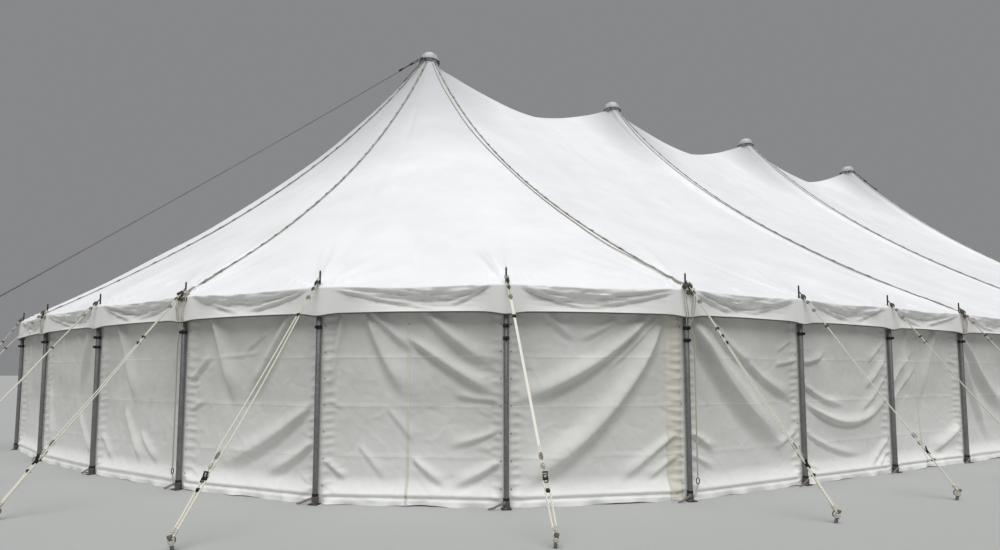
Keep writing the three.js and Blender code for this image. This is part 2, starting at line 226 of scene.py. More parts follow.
def revolve(profile, sides, ribs=0, rib_depth=0.0):
    """A profile of (radius, height) turned about the upright axis. Ribs swell the radius by a cosine."""
    profile = np.asarray(profile, float)
    angle = np.arange(sides) * 2 * np.pi / sides
    swell = 1 + rib_depth * np.cos(ribs * angle)
    points = np.stack([
        profile[:, :1] * np.cos(angle) * swell,
        profile[:, :1] * np.sin(angle) * swell,
        np.repeat(profile[:, 1:], sides, axis=1),
    ], axis=-1)
    lay = np.zeros_like(points)
    lay[..., 0] = angle / (2 * np.pi)
    lay[..., 1] = profile[:, 1:]
    return points.reshape(-1, 3), lay.reshape(-1, 3), grid_faces(len(profile), sides, True)


def hoop(radius, thickness, sides=24, section_sides=8, tall=1.0, turn=0.0, tilt=0.0, centre=(0, 0, 0)):
    """A ring of round bar upright in the plane of x and z: a circle, stretched upwards, as a closed loft.
    It is then turned about the upright axis, tilted about y and moved to its centre."""
    angle = np.arange(sides) * 2 * np.pi / sides
    path = np.stack([radius * np.cos(angle), np.zeros(sides), radius * tall * np.sin(angle)], axis=-1)
    points, lay, faces = loft(path, thickness, circle(section_sides), up=(0, 1, 0), closed=True)
    return moved((points, lay, faces), turn, tilt, centre)


def moved(part, turn=0.0, tilt=0.0, centre=(0, 0, 0)):
    """A part tilted about y, then turned about the upright axis, then moved."""
    points, lay, faces = part
    ct, st = math.cos(tilt), math.sin(tilt)
    cz, sz = math.cos(turn), math.sin(turn)
    tilting = np.array([[ct, 0, st], [0, 1, 0], [-st, 0, ct]])
    turning = np.array([[cz, -sz, 0], [sz, cz, 0], [0, 0, 1]])
    return points @ (turning @ tilting).T + np.asarray(centre, float), lay, faces


def joined(parts):
    """Several parts as one, with the face numbers moved on."""
    points, lays, faces, start = [], [], [], 0
    for part_points, part_lay, part_faces in parts:
        points.append(part_points)
        lays.append(part_lay)
        faces.append(part_faces + start)
        start += len(part_points)
    return np.concatenate(points), np.concatenate(lays), np.concatenate(faces)


def copies(part, places, headings):
    """A part repeated at several places, each copy first turned about the upright axis to its heading."""
    points, lay, faces = part
    places, headings = np.asarray(places, float), np.asarray(headings, float)
    cz, sz = np.cos(headings)[:, None], np.sin(headings)[:, None]
    turned = np.stack([
        points[:, 0] * cz - points[:, 1] * sz,
        points[:, 0] * sz + points[:, 1] * cz,
        np.broadcast_to(points[:, 2], (len(places), len(points))),
    ], axis=-1) + places[:, None]
    starts = np.arange(len(places))[:, None, None] * len(points)
    return turned.reshape(-1, 3), np.tile(lay, (len(places), 1)), (faces[None] + starts).reshape(-1, 4)


def new_piece(name, part, material, sheet=False):
    """Puts a part into a mesh with smooth faces, sharp edges kept, and lets it ride on the tent's one body.
    The faces point outwards as they are built. A closed part is welded, and a sheet is left open."""
    points, lay, faces = part
    mesh = bpy.data.meshes.new(name)
    mesh.vertices.add(len(points))
    mesh.vertices.foreach_set("co", points.astype(np.float32).ravel())
    mesh.loops.add(faces.size)
    mesh.loops.foreach_set("vertex_index", faces.astype(np.int32).ravel())
    mesh.polygons.add(len(faces))
    mesh.polygons.foreach_set("loop_start", np.arange(0, faces.size, 4, dtype=np.int32))
    mesh.update(calc_edges=True)
    surface = mesh.attributes.new("lay", "FLOAT_VECTOR", "POINT")
    surface.data.foreach_set("vector", lay.astype(np.float32).ravel())
    if not sheet:
        work = bmesh.new()
        work.from_mesh(mesh)
        bmesh.ops.remove_doubles(work, verts=work.verts, dist=WELD)
        work.to_mesh(mesh)
        work.free()
    mesh.shade_smooth()
    if not sheet:
        mesh.set_sharp_from_angle(angle=SHARP_ANGLE)
    mesh.materials.append(material)
    piece = bpy.data.objects.new(name, mesh)
    bpy.context.scene.collection.objects.link(piece)
    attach(piece, "root")
    return piece


# Hot-dip galvanised steel: a mild steel tube with a zinc skin. The spangle gives it cloudy patches a few
# millimetres wide, drawn here at 18 mm so that they show, and handling leaves it duller in streaks.
galvanised = new_material("galvanised_steel_tube")
place = add_node(galvanised, "ShaderNodeTexCoord")
spangle = add_node(galvanised, "ShaderNodeTexVoronoi", {"Vector": place.outputs["Object"]},
                   socket_Scale=1 / 0.018)
streaks = add_node(galvanised, "ShaderNodeTexNoise", {"Vector": place.outputs["Object"]},
                   socket_Scale=1 / 0.25, socket_Detail=5.0)
cloud = add_node(galvanised, "ShaderNodeMix", {"A": spangle.outputs["Color"], "B": streaks.outputs["Fac"]},
                 data_type="RGBA", socket_0=0.55)
tone = add_node(galvanised, "ShaderNodeValToRGB", {"Fac": cloud.outputs["Result"]},
                ramp=[(0.0, "#626362"), (1.0, "#979796")])
dull = add_node(galvanised, "ShaderNodeMapRange", {"Value": streaks.outputs["Fac"]},
                socket_3=0.38, socket_4=0.62)
finish_material(galvanised, add_node(
    galvanised, "ShaderNodeBsdfPrincipled",
    {"Base Color": tone.outputs["Color"], "Roughness": dull.outputs["Result"]}, socket_Metallic=0.7))

# Blackened forged steel: shackles, rings, clamps and ratchets with a hammered, oiled skin, black with grey
# blots. Its scale marks are drawn at 20 mm.
forged = new_material("blackened_forged_steel")
place = add_node(forged, "ShaderNodeTexCoord")
scale_marks = add_node(forged, "ShaderNodeTexNoise", {"Vector": place.outputs["Object"]},
                       socket_Scale=1 / 0.02, socket_Detail=4.0)
tone = add_node(forged, "ShaderNodeValToRGB", {"Fac": scale_marks.outputs["Fac"]},
                ramp=[(0.0, "#17181A"), (1.0, "#3C3D3F")])
dents = add_node(forged, "ShaderNodeBump", {"Height": scale_marks.outputs["Fac"]},
                 socket_Strength=0.4, socket_Distance=0.002)
finish_material(forged, add_node(
    forged, "ShaderNodeBsdfPrincipled",
    {"Base Color": tone.outputs["Color"], "Normal": dents.outputs["Normal"]},
    socket_Metallic=0.6, socket_Roughness=0.5))

# Moulded glass fibre: the crown's cap, a weathered off-white gel coat, greyed by soot in soft blots.
gel_coat = blotted_material("weathered_gel_coat", 0.12, [(0.0, "#9FA1A3"), (1.0, "#CDCFD1")], 6.0,
                            socket_Roughness=0.45)

for king in range(KING_COUNT):
    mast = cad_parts[f"king_pole_{king + 1}"]
    for mast_slot in mast.material_slots:
        mast_slot.material = galvanised

crown_places = [(-LAST_KING + KING_SPACING * king, 0, CROWN_HEIGHT) for king in range(KING_COUNT)]
cap_angle = np.linspace(0, np.pi / 2, 10)
cap_profile = np.concatenate([
    [(0, CAP_SKIRT - 0.004), (CAP_RADIUS - 0.006, CAP_SKIRT - 0.004), (CAP_RADIUS, CAP_SKIRT)],
    np.stack([CAP_RADIUS * np.cos(cap_angle) ** 0.62,
              CAP_SKIRT + 0.006 + CAP_HEIGHT * np.sin(cap_angle) ** 1.15], axis=-1),
])
cap_profile[-1, 0] = 0
cap = revolve(cap_profile, ROUND_SIDES, CAP_RIBS, CAP_RIB_DEPTH)
spire_top = SPIRE_HEIGHT - 0.004
spire = revolve([(0, 0), (0.03, 0), (0.03, 0.006), (0.012, 0.010), (0.008, spire_top), (0, spire_top)], 16)
spire = moved(spire, centre=(0, 0, CAP_SKIRT + CAP_HEIGHT - 0.012))
ring_angle = np.arange(ROUND_SIDES) * 2 * np.pi / ROUND_SIDES
ring_path = np.stack([RING_RADIUS * np.cos(ring_angle), RING_RADIUS * np.sin(ring_angle),
                      np.full(ROUND_SIDES, RING_HEIGHT)], axis=-1)
ring = loft(ring_path, RING_THICKNESS, circle(10), closed=True)
hub = revolve([
    (0, 0.004), (HUB_RADIUS - 0.01, 0.004), (HUB_RADIUS, 0.01), (HUB_RADIUS, HUB_HEIGHT - 0.007),
    (HUB_RADIUS - 0.01, HUB_HEIGHT), (0, HUB_HEIGHT),
], ROUND_SIDES)
spoke = loft([(0.18, 0, 0.028), (0.26, 0, 0.028)], 0.012, circle(8))
spokes = joined([moved(spoke, turn=i * math.pi / 4) for i in range(CROWN_SHACKLES)])
shackle_angles = [(i + 0.5) * 2 * math.pi / CROWN_SHACKLES for i in range(CROWN_SHACKLES)]
shackles = joined([
    hoop(SHACKLE_RADIUS, SHACKLE_THICKNESS, 18, 6, 1.4, turn, 0.0,
         (RING_RADIUS * math.cos(turn), RING_RADIUS * math.sin(turn), 0.005))
    for turn in shackle_angles
])
for king, crown_place in enumerate(crown_places):
    metal = copies(joined([ring, spokes, shackles, spire]), [crown_place], [0])
    crown = new_piece(f"crown_ring_{king + 1}", metal, forged)
    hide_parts(f"crown_{king + 1}")
    moulding = copies(joined([cap, hub]), [crown_place], [0])
    new_piece(f"crown_cap_{king + 1}", moulding, gel_coat)


# Plan of the eave
# The side poles stand in a long almond: nine even bays along each side and twelve round each end. Whole
# numbers count the poles against the clock from the near left corner; a fraction is a place in a bay.
BAYS_PER_KING = 3
HALF_WIDTH = 9.05
END_BENDS = (16.6, 16.1, 16.1, 7.8, 4.9, 6.8)
SIDE_BAYS = BAYS_PER_KING * (KING_COUNT - 1)
END_BAYS = 2 * len(END_BENDS)
SIDE_BAY = KING_SPACING / BAYS_PER_KING
EAVE_HEIGHT = 2.44
EAVE_OUT = 0.0423


def plan_of_poles():
    """The side poles' places in plan. An end's bays have one length and turn by its bends, so that their
    sideways steps add up to half the tent's width; the far side is the near side turned half round."""
    headings = np.radians(np.cumsum(END_BENDS))
    bay = HALF_WIDTH / np.sin(headings).sum()
    beyond = np.concatenate([[0], np.cumsum(bay * np.cos(headings))])
    side = np.concatenate([[0], np.cumsum(bay * np.sin(headings))]) - HALF_WIDTH
    straight = np.stack([-LAST_KING + SIDE_BAY * np.arange(SIDE_BAYS),
                         np.full(SIDE_BAYS, -HALF_WIDTH)], axis=-1)
    turn_in = np.stack([LAST_KING + beyond, side], axis=-1)
    turn_out = (turn_in * (1, -1))[-2:0:-1]
    half = np.concatenate([straight, turn_in, turn_out])
    return np.concatenate([half, -half])


poles = plan_of_poles()
POLE_COUNT = len(poles)
bay_vectors = np.roll(poles, -1, 0) - poles
bay_lengths = np.linalg.norm(bay_vectors, axis=1)
bay_outward = np.stack([bay_vectors[:, 1], -bay_vectors[:, 0]], axis=-1) / bay_lengths[:, None]
outward_before = np.roll(bay_outward, 1, 0)
mitres = (outward_before + bay_outward) / (1 + (outward_before * bay_outward).sum(1, keepdims=True))
pole_headings = np.arctan2(mitres[:, 1], mitres[:, 0])


def eave_line(along, offset):
    """A place on the eave moved out by an offset: straight between the two poles' own offset places."""
    along = np.asarray(along, float)
    index = np.floor(along + 1e-9).astype(int)
    share = np.clip(along - index, 0, 1)[..., None]
    offset = np.asarray(offset, float)[..., None]
    first, second = index % POLE_COUNT, (index + 1) % POLE_COUNT
    start = poles[first] + mitres[first] * offset
    end = poles[second] + mitres[second] * offset
    return start + (end - start) * share


def eave_curve(along):
    """The eave as a smooth curve through the poles' outer places, a spline of four neighbouring poles."""
    along = np.asarray(along, float)
    index = np.floor(along + 1e-9).astype(int)
    t = np.clip(along - index, 0, 1)[..., None]
    outer = poles + mitres * EAVE_OUT
    p0, p1, p2, p3 = (outer[(index + k) % POLE_COUNT] for k in (-1, 0, 1, 2))
    return 0.5 * (2 * p1 + (p2 - p0) * t + (2 * p0 - 5 * p1 + 4 * p2 - p3) * t ** 2
                  + (3 * p1 - p0 - 3 * p2 + p3) * t ** 3)


# Roof canvas
# Coated white polyester canvas in thirteen laced pieces: three middle sections from eave to eave over the
# ridge, and five gores round each end. Each is cut with its own valance, tensioned from the crowns to the
# side poles, so it hangs in a hollow curve, strains in creases at each pole and is slack between the poles.
CROWN_TOP = 9.7997
RIDGE_SAG = 0.85
RING_OPENING = 0.2
SLOPE_SAG = 0.53
RIDGE_ROUNDING = 0.7
VALANCE_DROP = 0.31
END_SEAMS = (0, 3, 5, 7, 9, 12)
COLUMNS_PER_BAY = 28
FINE_COLUMNS = {"middle_1": 76, "middle_2": 48, "middle_3": 40,
                "near_gore_3": 60, "near_gore_4": 76, "near_gore_5": 76}
VALANCE_ROWS = 20
LOWER_ROWS = 18
LOWER_REACH = 1.7
UPPER_ROWS = 24
RING_ROWS = 3
SLOPE_RUN = HALF_WIDTH - RING_OPENING
CREASES_PER_POLE = 11
CREASE_HEIGHT = 0.036
CREASE_SPREAD = 0.055
CREASE_START = 0.12
EAVE_SLACK = 0.03
SLACK_REACH = 0.5
SWAG_START = 0.085
SWAG_SPAN = 0.83
VALANCE_TUCK = 0.088
VALANCE_FLARE = 0.022
# Painted shade near the crowns: how far it reaches, and how much shorter it reaches along the ridge and down
# the sides.
CROWN_SHADE_REACH = 4.2
CROWN_SHADE_SHORTER_ALONG_RIDGE = 2.4
CROWN_SHADE_SHORTER_DOWN_SIDES = 1.5
rng = np.random.default_rng(41)


def slope_height(top, share):
    """Height at a share of the way from crown to eave: a hyperbola, steep at first, easing to the eave."""
    return EAVE_HEIGHT + (top - EAVE_HEIGHT) * (1 - share) / (1 + SLOPE_SAG * share)


def middle_height(from_king, across, eave_distance):
    """Height between two king poles: the slope's hyperbola from a ridge that sags by a power curve, with the
    ridge rounded between the crowns by a hypotenuse that grows with the distance from them."""
    share = np.clip(from_king - RING_OPENING, 0, None) / (KING_SPACING / 2 - RING_OPENING)
    top = CROWN_TOP - RIDGE_SAG * (1 - np.clip(1 - share, 0, None) ** 1.5)
    hole = np.sqrt(np.clip(RING_OPENING ** 2 - from_king ** 2, 0, None))
    rounding = RIDGE_ROUNDING * np.clip(from_king - RING_OPENING, 0, None) / (KING_SPACING / 2)
    reach = np.hypot(np.clip(across - hole, 0, None), rounding) - rounding
    whole = np.hypot(eave_distance - hole, rounding) - rounding
    return slope_height(top, reach / whole)


def roof_point(along, share):
    """The smooth roof at a place along the eave and a share of the way down from the crown. Round the ends
    it is a cone over the smooth eave, flattened to straight bays at the eave. On the sides it is the slope
    of the middle sections."""
    along, share = np.broadcast_arrays(np.asarray(along, float), np.asarray(share, float))
    around = np.mod(along, POLE_COUNT)
    half = POLE_COUNT / 2
    back = around >= half
    local = np.where(back, around - half, around)
    flip = np.where(back, -1.0, 1.0)
    side = local <= SIDE_BAYS
    eave = eave_line(along, np.full(along.shape, EAVE_OUT))
    squareness = (share ** 7)[..., None]
    rim = eave_curve(along) * (1 - squareness) + eave * squareness
    king = np.stack([flip * LAST_KING, np.zeros_like(flip)], axis=-1)
    spoke = rim - king
    length = np.linalg.norm(spoke, axis=-1)
    reach = RING_OPENING + (length - RING_OPENING) * share
    cone = king + spoke * (reach / length)[..., None]
    cone_height = slope_height(CROWN_TOP, share)
    eave_distance = HALF_WIDTH + EAVE_OUT
    across = RING_OPENING + (eave_distance - RING_OPENING) * share
    nominal = -LAST_KING + local * SIDE_BAY
    from_king = np.abs(np.mod(nominal + LAST_KING + KING_SPACING / 2, KING_SPACING) - KING_SPACING / 2)
    splay = flip * eave[..., 0] - nominal
    slope_x = flip * (nominal + splay * across / eave_distance)
    slope_y = -flip * across
    slope_z = middle_height(from_king, across, eave_distance)
    return np.stack([
        np.where(side, slope_x, cone[..., 0]),
        np.where(side, slope_y, cone[..., 1]),
        np.where(side, slope_z, cone_height),
    ], axis=-1)


def ripples(x, y, waves, seed):
    """Soft random waves: a sum of sines of given (length, height) with seeded directions and starts."""
    dice = np.random.default_rng(seed)
    total = np.zeros(np.broadcast(x, y).shape)
    for length, height in waves:
        turn, start = dice.uniform(0, 2 * np.pi, 2)
        total = total + height * np.sin(2 * np.pi * (x * np.cos(turn) + y * np.sin(turn)) / length + start)
    return total


def crumples(x, y, count, size, height, seed):
    """Sharp creases in patches: a sum of narrow ridges along bent parallel lines, shown by soft spots."""
    dice = np.random.default_rng(seed)
    total = np.zeros(np.broadcast(x, y).shape)
    for i in range(count):
        turn, start, spread = dice.uniform(0, np.pi), dice.uniform(0, 1), size * dice.uniform(0.6, 1.6)
        bend = ripples(x, y, [(size * 2.1, size * 0.22), (size * 0.8, size * 0.07)], seed * 31 + i)
        line = (x * np.cos(turn) + y * np.sin(turn) + bend) / spread + start
        ridge = (1 - np.abs(np.sin(np.pi * line))) ** 5
        spot = ripples(x, y, [(size * 1.9, 0.5), (size * 1.1, 0.5)], seed * 17 + i)
        total += height * ridge * np.clip(spot, 0, 1) * dice.choice([-1.0, 1.0])
    return total


pole_creases = [
    list(zip(
        rng.uniform(0.06, 0.94, CREASES_PER_POLE) * np.pi,
        rng.uniform(0.35, 1.0, CREASES_PER_POLE),
        rng.uniform(0.5, 1.5, CREASES_PER_POLE),
    )) + [(math.pi / 2 + 0.1, 1.1, 1.1)] for _ in range(POLE_COUNT)
]


def roof_creases(along, down):
    """How far the canvas stands proud of the smooth roof, at places along the eave and metres up from it.
    Ridges fan out from each pole and fade; between poles the cloth sinks with the slack at the eave."""
    along, down = np.broadcast_arrays(along, down)
    metres = bay_lengths[np.floor(along + 1e-9).astype(int) % POLE_COUNT]
    nearest = np.round(along).astype(int)
    aside = (along - nearest) * metres
    radius, angle = np.hypot(aside, down), np.arctan2(down, aside)
    fan = np.zeros(radius.shape)
    for pole in np.unique(nearest):
        mine = nearest == pole
        far, turn = radius[mine], angle[mine]
        for heading, strength, length in pole_creases[pole % POLE_COUNT]:
            shallow = 1 + 0.5 * abs(math.cos(heading))
            ridge = np.exp(-((turn - heading) / CREASE_SPREAD) ** 2)
            fan[mine] += strength * shallow * ridge * np.exp(-(far / (length * shallow)) ** 2)
    slack = np.sin(np.pi * np.mod(along, 1)) ** 2
    fan = CREASE_HEIGHT * fan * radius / (radius + CREASE_START)
    return fan - EAVE_SLACK * slack * np.exp(-down / SLACK_REACH)


def fold_relief(x, z, folds):
    """The sum of a cloth's folds. Each runs from (x0, z0) to (x1, z1), its crest sagging below that chord by
    a parabola, with a breadth and a rise. It falls off as a bell: steep on the lower side with a shallow
    valley, over twice as broad on the upper one, since the cloth's weight rolls a fold downwards. It starts
    narrow and fades."""
    relief = np.zeros(np.broadcast(x, z).shape)
    for x0, z0, x1, z1, sag, breadth, rise in folds:
        length = math.hypot(x1 - x0, z1 - z0)
        chord_x, chord_z = (x1 - x0) / length, (z1 - z0) / length
        upward = math.copysign(1, chord_x)
        t = ((x - x0) * chord_x + (z - z0) * chord_z) / length
        q = upward * ((z - z0) * chord_x - (x - x0) * chord_z) + sag * 4 * t * (1 - t)
        q = q / (breadth * (0.45 + 0.8 * np.clip(t, 0, 1)))
        begun, left = np.clip(t * 5, 0, 1), np.clip((1 - t) * 2.8, 0, 1)
        fade = begun * begun * (3 - 2 * begun) * left * left * (3 - 2 * left)
        bell = np.exp(-np.where(q > 0, q / 2.3, q) ** 2) - 0.35 * np.exp(-(q + 2.1) ** 2)
        relief += rise * fade * bell
    return relief


def valance_folds(bay, width):
    """The folds of a bay's valance, from its two upper corners down to the low point of its swag."""
    dice = np.random.default_rng(900 + bay)
    folds = []
    from_corners = ((0, 0.85, 0.03), (0, 0.5, 0.022), (0, 0.3, 0.014), (1, 0.78, 0.032), (1, 0.4, 0.022))
    for side, low, rise in from_corners:
        corner = abs(side - dice.uniform(0.05, 0.1))
        reach = 0.5 + 0.12 * math.sin(bay * 2.4) + dice.uniform(-0.07, 0.07)
        folds.append((corner * width, -dice.uniform(0.0, 0.12) * VALANCE_DROP, reach * width,
                      -low * VALANCE_DROP, dice.uniform(0, 0.02), dice.uniform(0.017, 0.025), 1.15 * rise))
    for _ in range(4):
        start, turn = dice.uniform(0.36, 0.64) * width, dice.uniform(0.06, 0.2) * dice.choice([-1, 1])
        level = -dice.uniform(0.08, 0.4) * VALANCE_DROP
        folds.append((start, level, start + turn, level - dice.uniform(-0.02, 0.05), dice.uniform(0, 0.02),
                      dice.uniform(0.013, 0.018), dice.uniform(0.010, 0.018)))
    return folds


def valance_points(along, drop_share):
    """The valance by columns (along) and rows (share of its drop). It hangs flat for a hand's breadth beside
    each pole. Between the poles it tucks in to a slack swag whose lowest line dips at mid bay, crumpled above
    and smooth below."""
    inside = np.mod(along, 1)
    metres = bay_lengths[np.floor(along + 1e-9).astype(int) % POLE_COUNT]
    bay = np.floor(along + 1e-9).astype(int) % POLE_COUNT
    lean = 0.5 + 0.12 * np.sin(bay * 2.4)
    bowed = np.clip((inside - SWAG_START) / SWAG_SPAN, 0, 1)
    skewed = bowed ** (np.log(0.5) / np.log(lean))
    swag = np.sin(np.pi * skewed)
    line = 0.06 + (0.44 + 0.1 * np.cos(bay * 1.7)) * swag[None]
    v = drop_share[:, None]
    above = np.clip(v / line, 0, 1) ** 1.4
    below = (np.clip(1 - v, 0, None) / (1 - line)) ** 0.85
    tuck = VALANCE_TUCK * swag[None] ** 0.7 * np.where(v < line, above, below)
    x, z = (along * metres)[None], v * VALANCE_DROP
    crumple = ripples(x, z * 2.6, [(0.31, 0.008), (0.19, 0.008), (0.13, 0.005), (0.09, 0.003)], 7)
    crumple = crumple + crumples(x, z * 1.8, 12, 0.2, 0.018, 19)
    crumple = crumple * swag[None] ** 0.8 * np.exp(-((v - 0.75 * line) / 0.4) ** 2)
    for number in np.unique(bay):
        mine = bay == number
        width = bay_lengths[number]
        folds = valance_folds(number, width)
        crumple[:, mine] += fold_relief((inside * width)[None, mine], -v * VALANCE_DROP, folds)
    sway = ripples(x, 0, [(1.9, 0.006), (0.83, 0.005), (0.47, 0.003)], 11)
    sway = sway * v ** 1.5 * np.sin(np.pi * inside)[None]
    beside = np.minimum(inside, 1 - inside) * metres
    flare = VALANCE_FLARE * np.exp(-(beside / 0.2) ** 2)[None] * v
    sunk = EAVE_SLACK * 0.6 * np.sin(np.pi * inside)[None] ** 2 * (1 - v)
    out = EAVE_OUT - tuck + crumple + sway + flare - sunk * 0.5
    drop = VALANCE_DROP * (1 + 0.09 * np.exp(-(beside / 0.15) ** 2) - 0.035 * np.sin(np.pi * inside))
    place = eave_line(np.broadcast_to(along[None], out.shape), out)
    height = EAVE_HEIGHT - drop[None] * v - sunk
    return np.concatenate([place, height[..., None]], axis=-1)


def surface_normals(points):
    """Unit normals of a grid of points: the cross product of its two directions."""
    normals = np.cross(np.gradient(points, axis=1), np.gradient(points, axis=0))
    return normals / np.clip(np.linalg.norm(normals, axis=-1, keepdims=True), 1e-9, None)


def grid_lay(points):
    """Metres across and along a grid of points, by adding up its steps, and how near it is to a crown, for
    the painted shade near the crowns, which reaches down the round ends and less far over the middle
    sections."""
    across = np.cumsum(np.linalg.norm(np.diff(points, axis=1, prepend=points[:, :1]), axis=-1), axis=1)
    along = np.cumsum(np.linalg.norm(np.diff(points, axis=0, prepend=points[:1]), axis=-1), axis=0)
    middle = points.shape[1] // 2
    across = across - across[:, middle:middle + 1]
    from_king = np.abs(np.mod(points[..., 0] + LAST_KING + KING_SPACING / 2, KING_SPACING) - KING_SPACING / 2)
    beyond = np.abs(points[..., 0]) - LAST_KING
    in_end = np.hypot(beyond, points[..., 1])
    in_middle = np.hypot(CROWN_SHADE_SHORTER_ALONG_RIDGE * from_king, CROWN_SHADE_SHORTER_DOWN_SIDES * points[..., 1])
    crown_shade = np.clip(1 - np.where(beyond > 0, in_end, in_middle) / CROWN_SHADE_REACH, 0, 1)
    return np.stack([across, along, crown_shade], axis=-1)


lower_steps = LOWER_REACH * (np.linspace(0, 1, LOWER_ROWS + 1) ** 1.6)
upper_steps = LOWER_REACH + (SLOPE_RUN - LOWER_REACH) * np.linspace(0, 1, UPPER_ROWS + 1)[1:]
slope_steps = np.concatenate([lower_steps, upper_steps])
slope_shares = 1 - slope_steps / SLOPE_RUN
slope_shares[-1] = 0
valance_shares = np.linspace(1, 0, VALANCE_ROWS + 1)[:-1]


def canvas_surface(along, share):
    """The roof with its creases put in, over places along the eave and shares of the way from the crown."""
    along, share = np.broadcast_arrays(along, share)
    smooth = roof_point(along, share)
    outward = surface_normals(smooth)
    outward = outward * np.sign(outward[..., 2:] + 1e-12)
    proud = roof_creases(along, (1 - share) * SLOPE_RUN)
    waves = ripples(smooth[..., 0], smooth[..., 1], [(3.1, 0.008), (2.2, 0.006), (1.3, 0.003)], 5)
    waves = waves * np.clip((1 - share) * SLOPE_RUN / 0.6, 0, 1) * np.clip(share * 6, 0, 1)
    beside_seam = np.clip(np.abs(along - np.round(along)) * 6, 0, 1)
    return smooth + outward * (proud + waves * beside_seam)[..., None], outward


def roof_side(along):
    """One side of a roof piece, from the valance's hem up to the crown, as a grid with its creases put in."""
    slope, outward = canvas_surface(along[None], slope_shares[:, None])
    slope[0] = valance_points(along, np.zeros(1))[0]
    return np.concatenate([valance_points(along, valance_shares), slope])


def middle_ring_rows(king, columns, front):
    """The rows that lead a middle section round the crown's opening and up to the ridge."""
    left = -LAST_KING + KING_SPACING * king
    angles = np.pi / 2 * (1 - np.arange(1, RING_ROWS + 1) / RING_ROWS)
    across = RING_OPENING * np.sin(angles)[:, None]
    from_ring = RING_OPENING * np.cos(angles)[:, None]
    x = left + from_ring + (KING_SPACING - 2 * from_ring) * np.linspace(0, 1, columns)[None]
    nearest = np.minimum(x - left, left + KING_SPACING - x)
    z = middle_height(nearest, np.broadcast_to(across, x.shape), HALF_WIDTH + EAVE_OUT)
    y = np.broadcast_to(-across if front else across, x.shape)
    return np.stack([x, y, z], axis=-1)


# Coated canvas of the roof: close-woven polyester with a white lacquered coat. It scatters almost all light,
# is faintly blue, and shows chalky patches about a metre wide. Near the crowns it is painted grey, as painted
# shade for the steep canvas there, and the valance is painted greyer, as painted shade for its upright face.
# Its 0.5 mm weave is drawn at 14 mm.
roof_canvas = new_material("coated_white_canvas")
surface = add_node(roof_canvas, "ShaderNodeAttribute", attribute_name="lay")
place = add_node(roof_canvas, "ShaderNodeTexCoord")
chalk = add_node(roof_canvas, "ShaderNodeTexNoise", {"Vector": place.outputs["Object"]},
                 socket_Scale=1 / 1.1, socket_Detail=6.0, socket_Roughness=0.6)
tone = add_node(roof_canvas, "ShaderNodeValToRGB", {"Fac": chalk.outputs["Fac"]},
                ramp=[(0.3, "#E4E5E7"), (0.7, "#F0F1F3")])
parts = add_node(roof_canvas, "ShaderNodeSeparateXYZ", {"Vector": place.outputs["Object"]})
# Painted shade: the valance, below the eave, is painted greyer for the shade on its upright face.
valance_shade = add_node(roof_canvas, "ShaderNodeMapRange", {"Value": parts.outputs["Z"]},
                   socket_1=EAVE_HEIGHT - 0.005, socket_2=EAVE_HEIGHT - 0.03, socket_3=0.0, socket_4=1.0)
laid = add_node(roof_canvas, "ShaderNodeSeparateXYZ", {"Vector": surface.outputs["Vector"]})
# Painted shade: the canvas is greyed near the crowns, in place of the shade on its steep part there.
crown_shade = add_node(roof_canvas, "ShaderNodeMapRange", {"Value": laid.outputs["Z"]},
                socket_1=0.0, socket_2=1.0, socket_3=0.0, socket_4=0.95)
crown_shaded = add_node(roof_canvas, "ShaderNodeMix", {"Factor": crown_shade.outputs["Result"], "A": tone.outputs["Color"]},
                 data_type="RGBA", socket_7=linear("#ABACAF"))
# The valance's painted shade is mixed in here.
cloth_tone = add_node(roof_canvas, "ShaderNodeMix",
                      {"Factor": valance_shade.outputs["Result"], "A": crown_shaded.outputs["Result"]},
                      data_type="RGBA", socket_7=linear("#E6E6E3"))
weave = add_node(roof_canvas, "ShaderNodeTexNoise", {"Vector": surface.outputs["Vector"]},
                 socket_Scale=1 / 0.014, socket_Detail=2.0)
rumple = add_node(roof_canvas, "ShaderNodeTexNoise", {"Vector": place.outputs["Object"]},
                  socket_Scale=1 / 0.22, socket_Detail=3.0)
relief = add_node(roof_canvas, "ShaderNodeMix", {"A": weave.outputs["Fac"], "B": rumple.outputs["Fac"]},
                  data_type="FLOAT", socket_0=0.7)
bumps = add_node(roof_canvas, "ShaderNodeBump", {"Height": relief.outputs["Result"]},
                 socket_Strength=0.25, socket_Distance=0.01)
finish_material(roof_canvas, add_node(
    roof_canvas, "ShaderNodeBsdfPrincipled",
    {"Base Color": cloth_tone.outputs["Result"], "Normal": bumps.outputs["Normal"]},
    socket_Roughness=0.55, socket_Sheen_Weight=0.1))


def sheet_part(grid):
    """An open part from a grid of points, with its lay."""
    return grid.reshape(-1, 3), grid_lay(grid).reshape(-1, 3), grid_faces(*grid.shape[:2])


def cloth_piece(name, grid, material, node):
    """A sheet of cloth from a grid of points, in place of its plain solid."""
    piece = new_piece(name, sheet_part(grid), material, sheet=True)
    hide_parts(node)
    return piece


def line_length(points):
    """The length of a line of points."""
    return float(np.linalg.norm(np.diff(points, axis=0), axis=-1).sum())


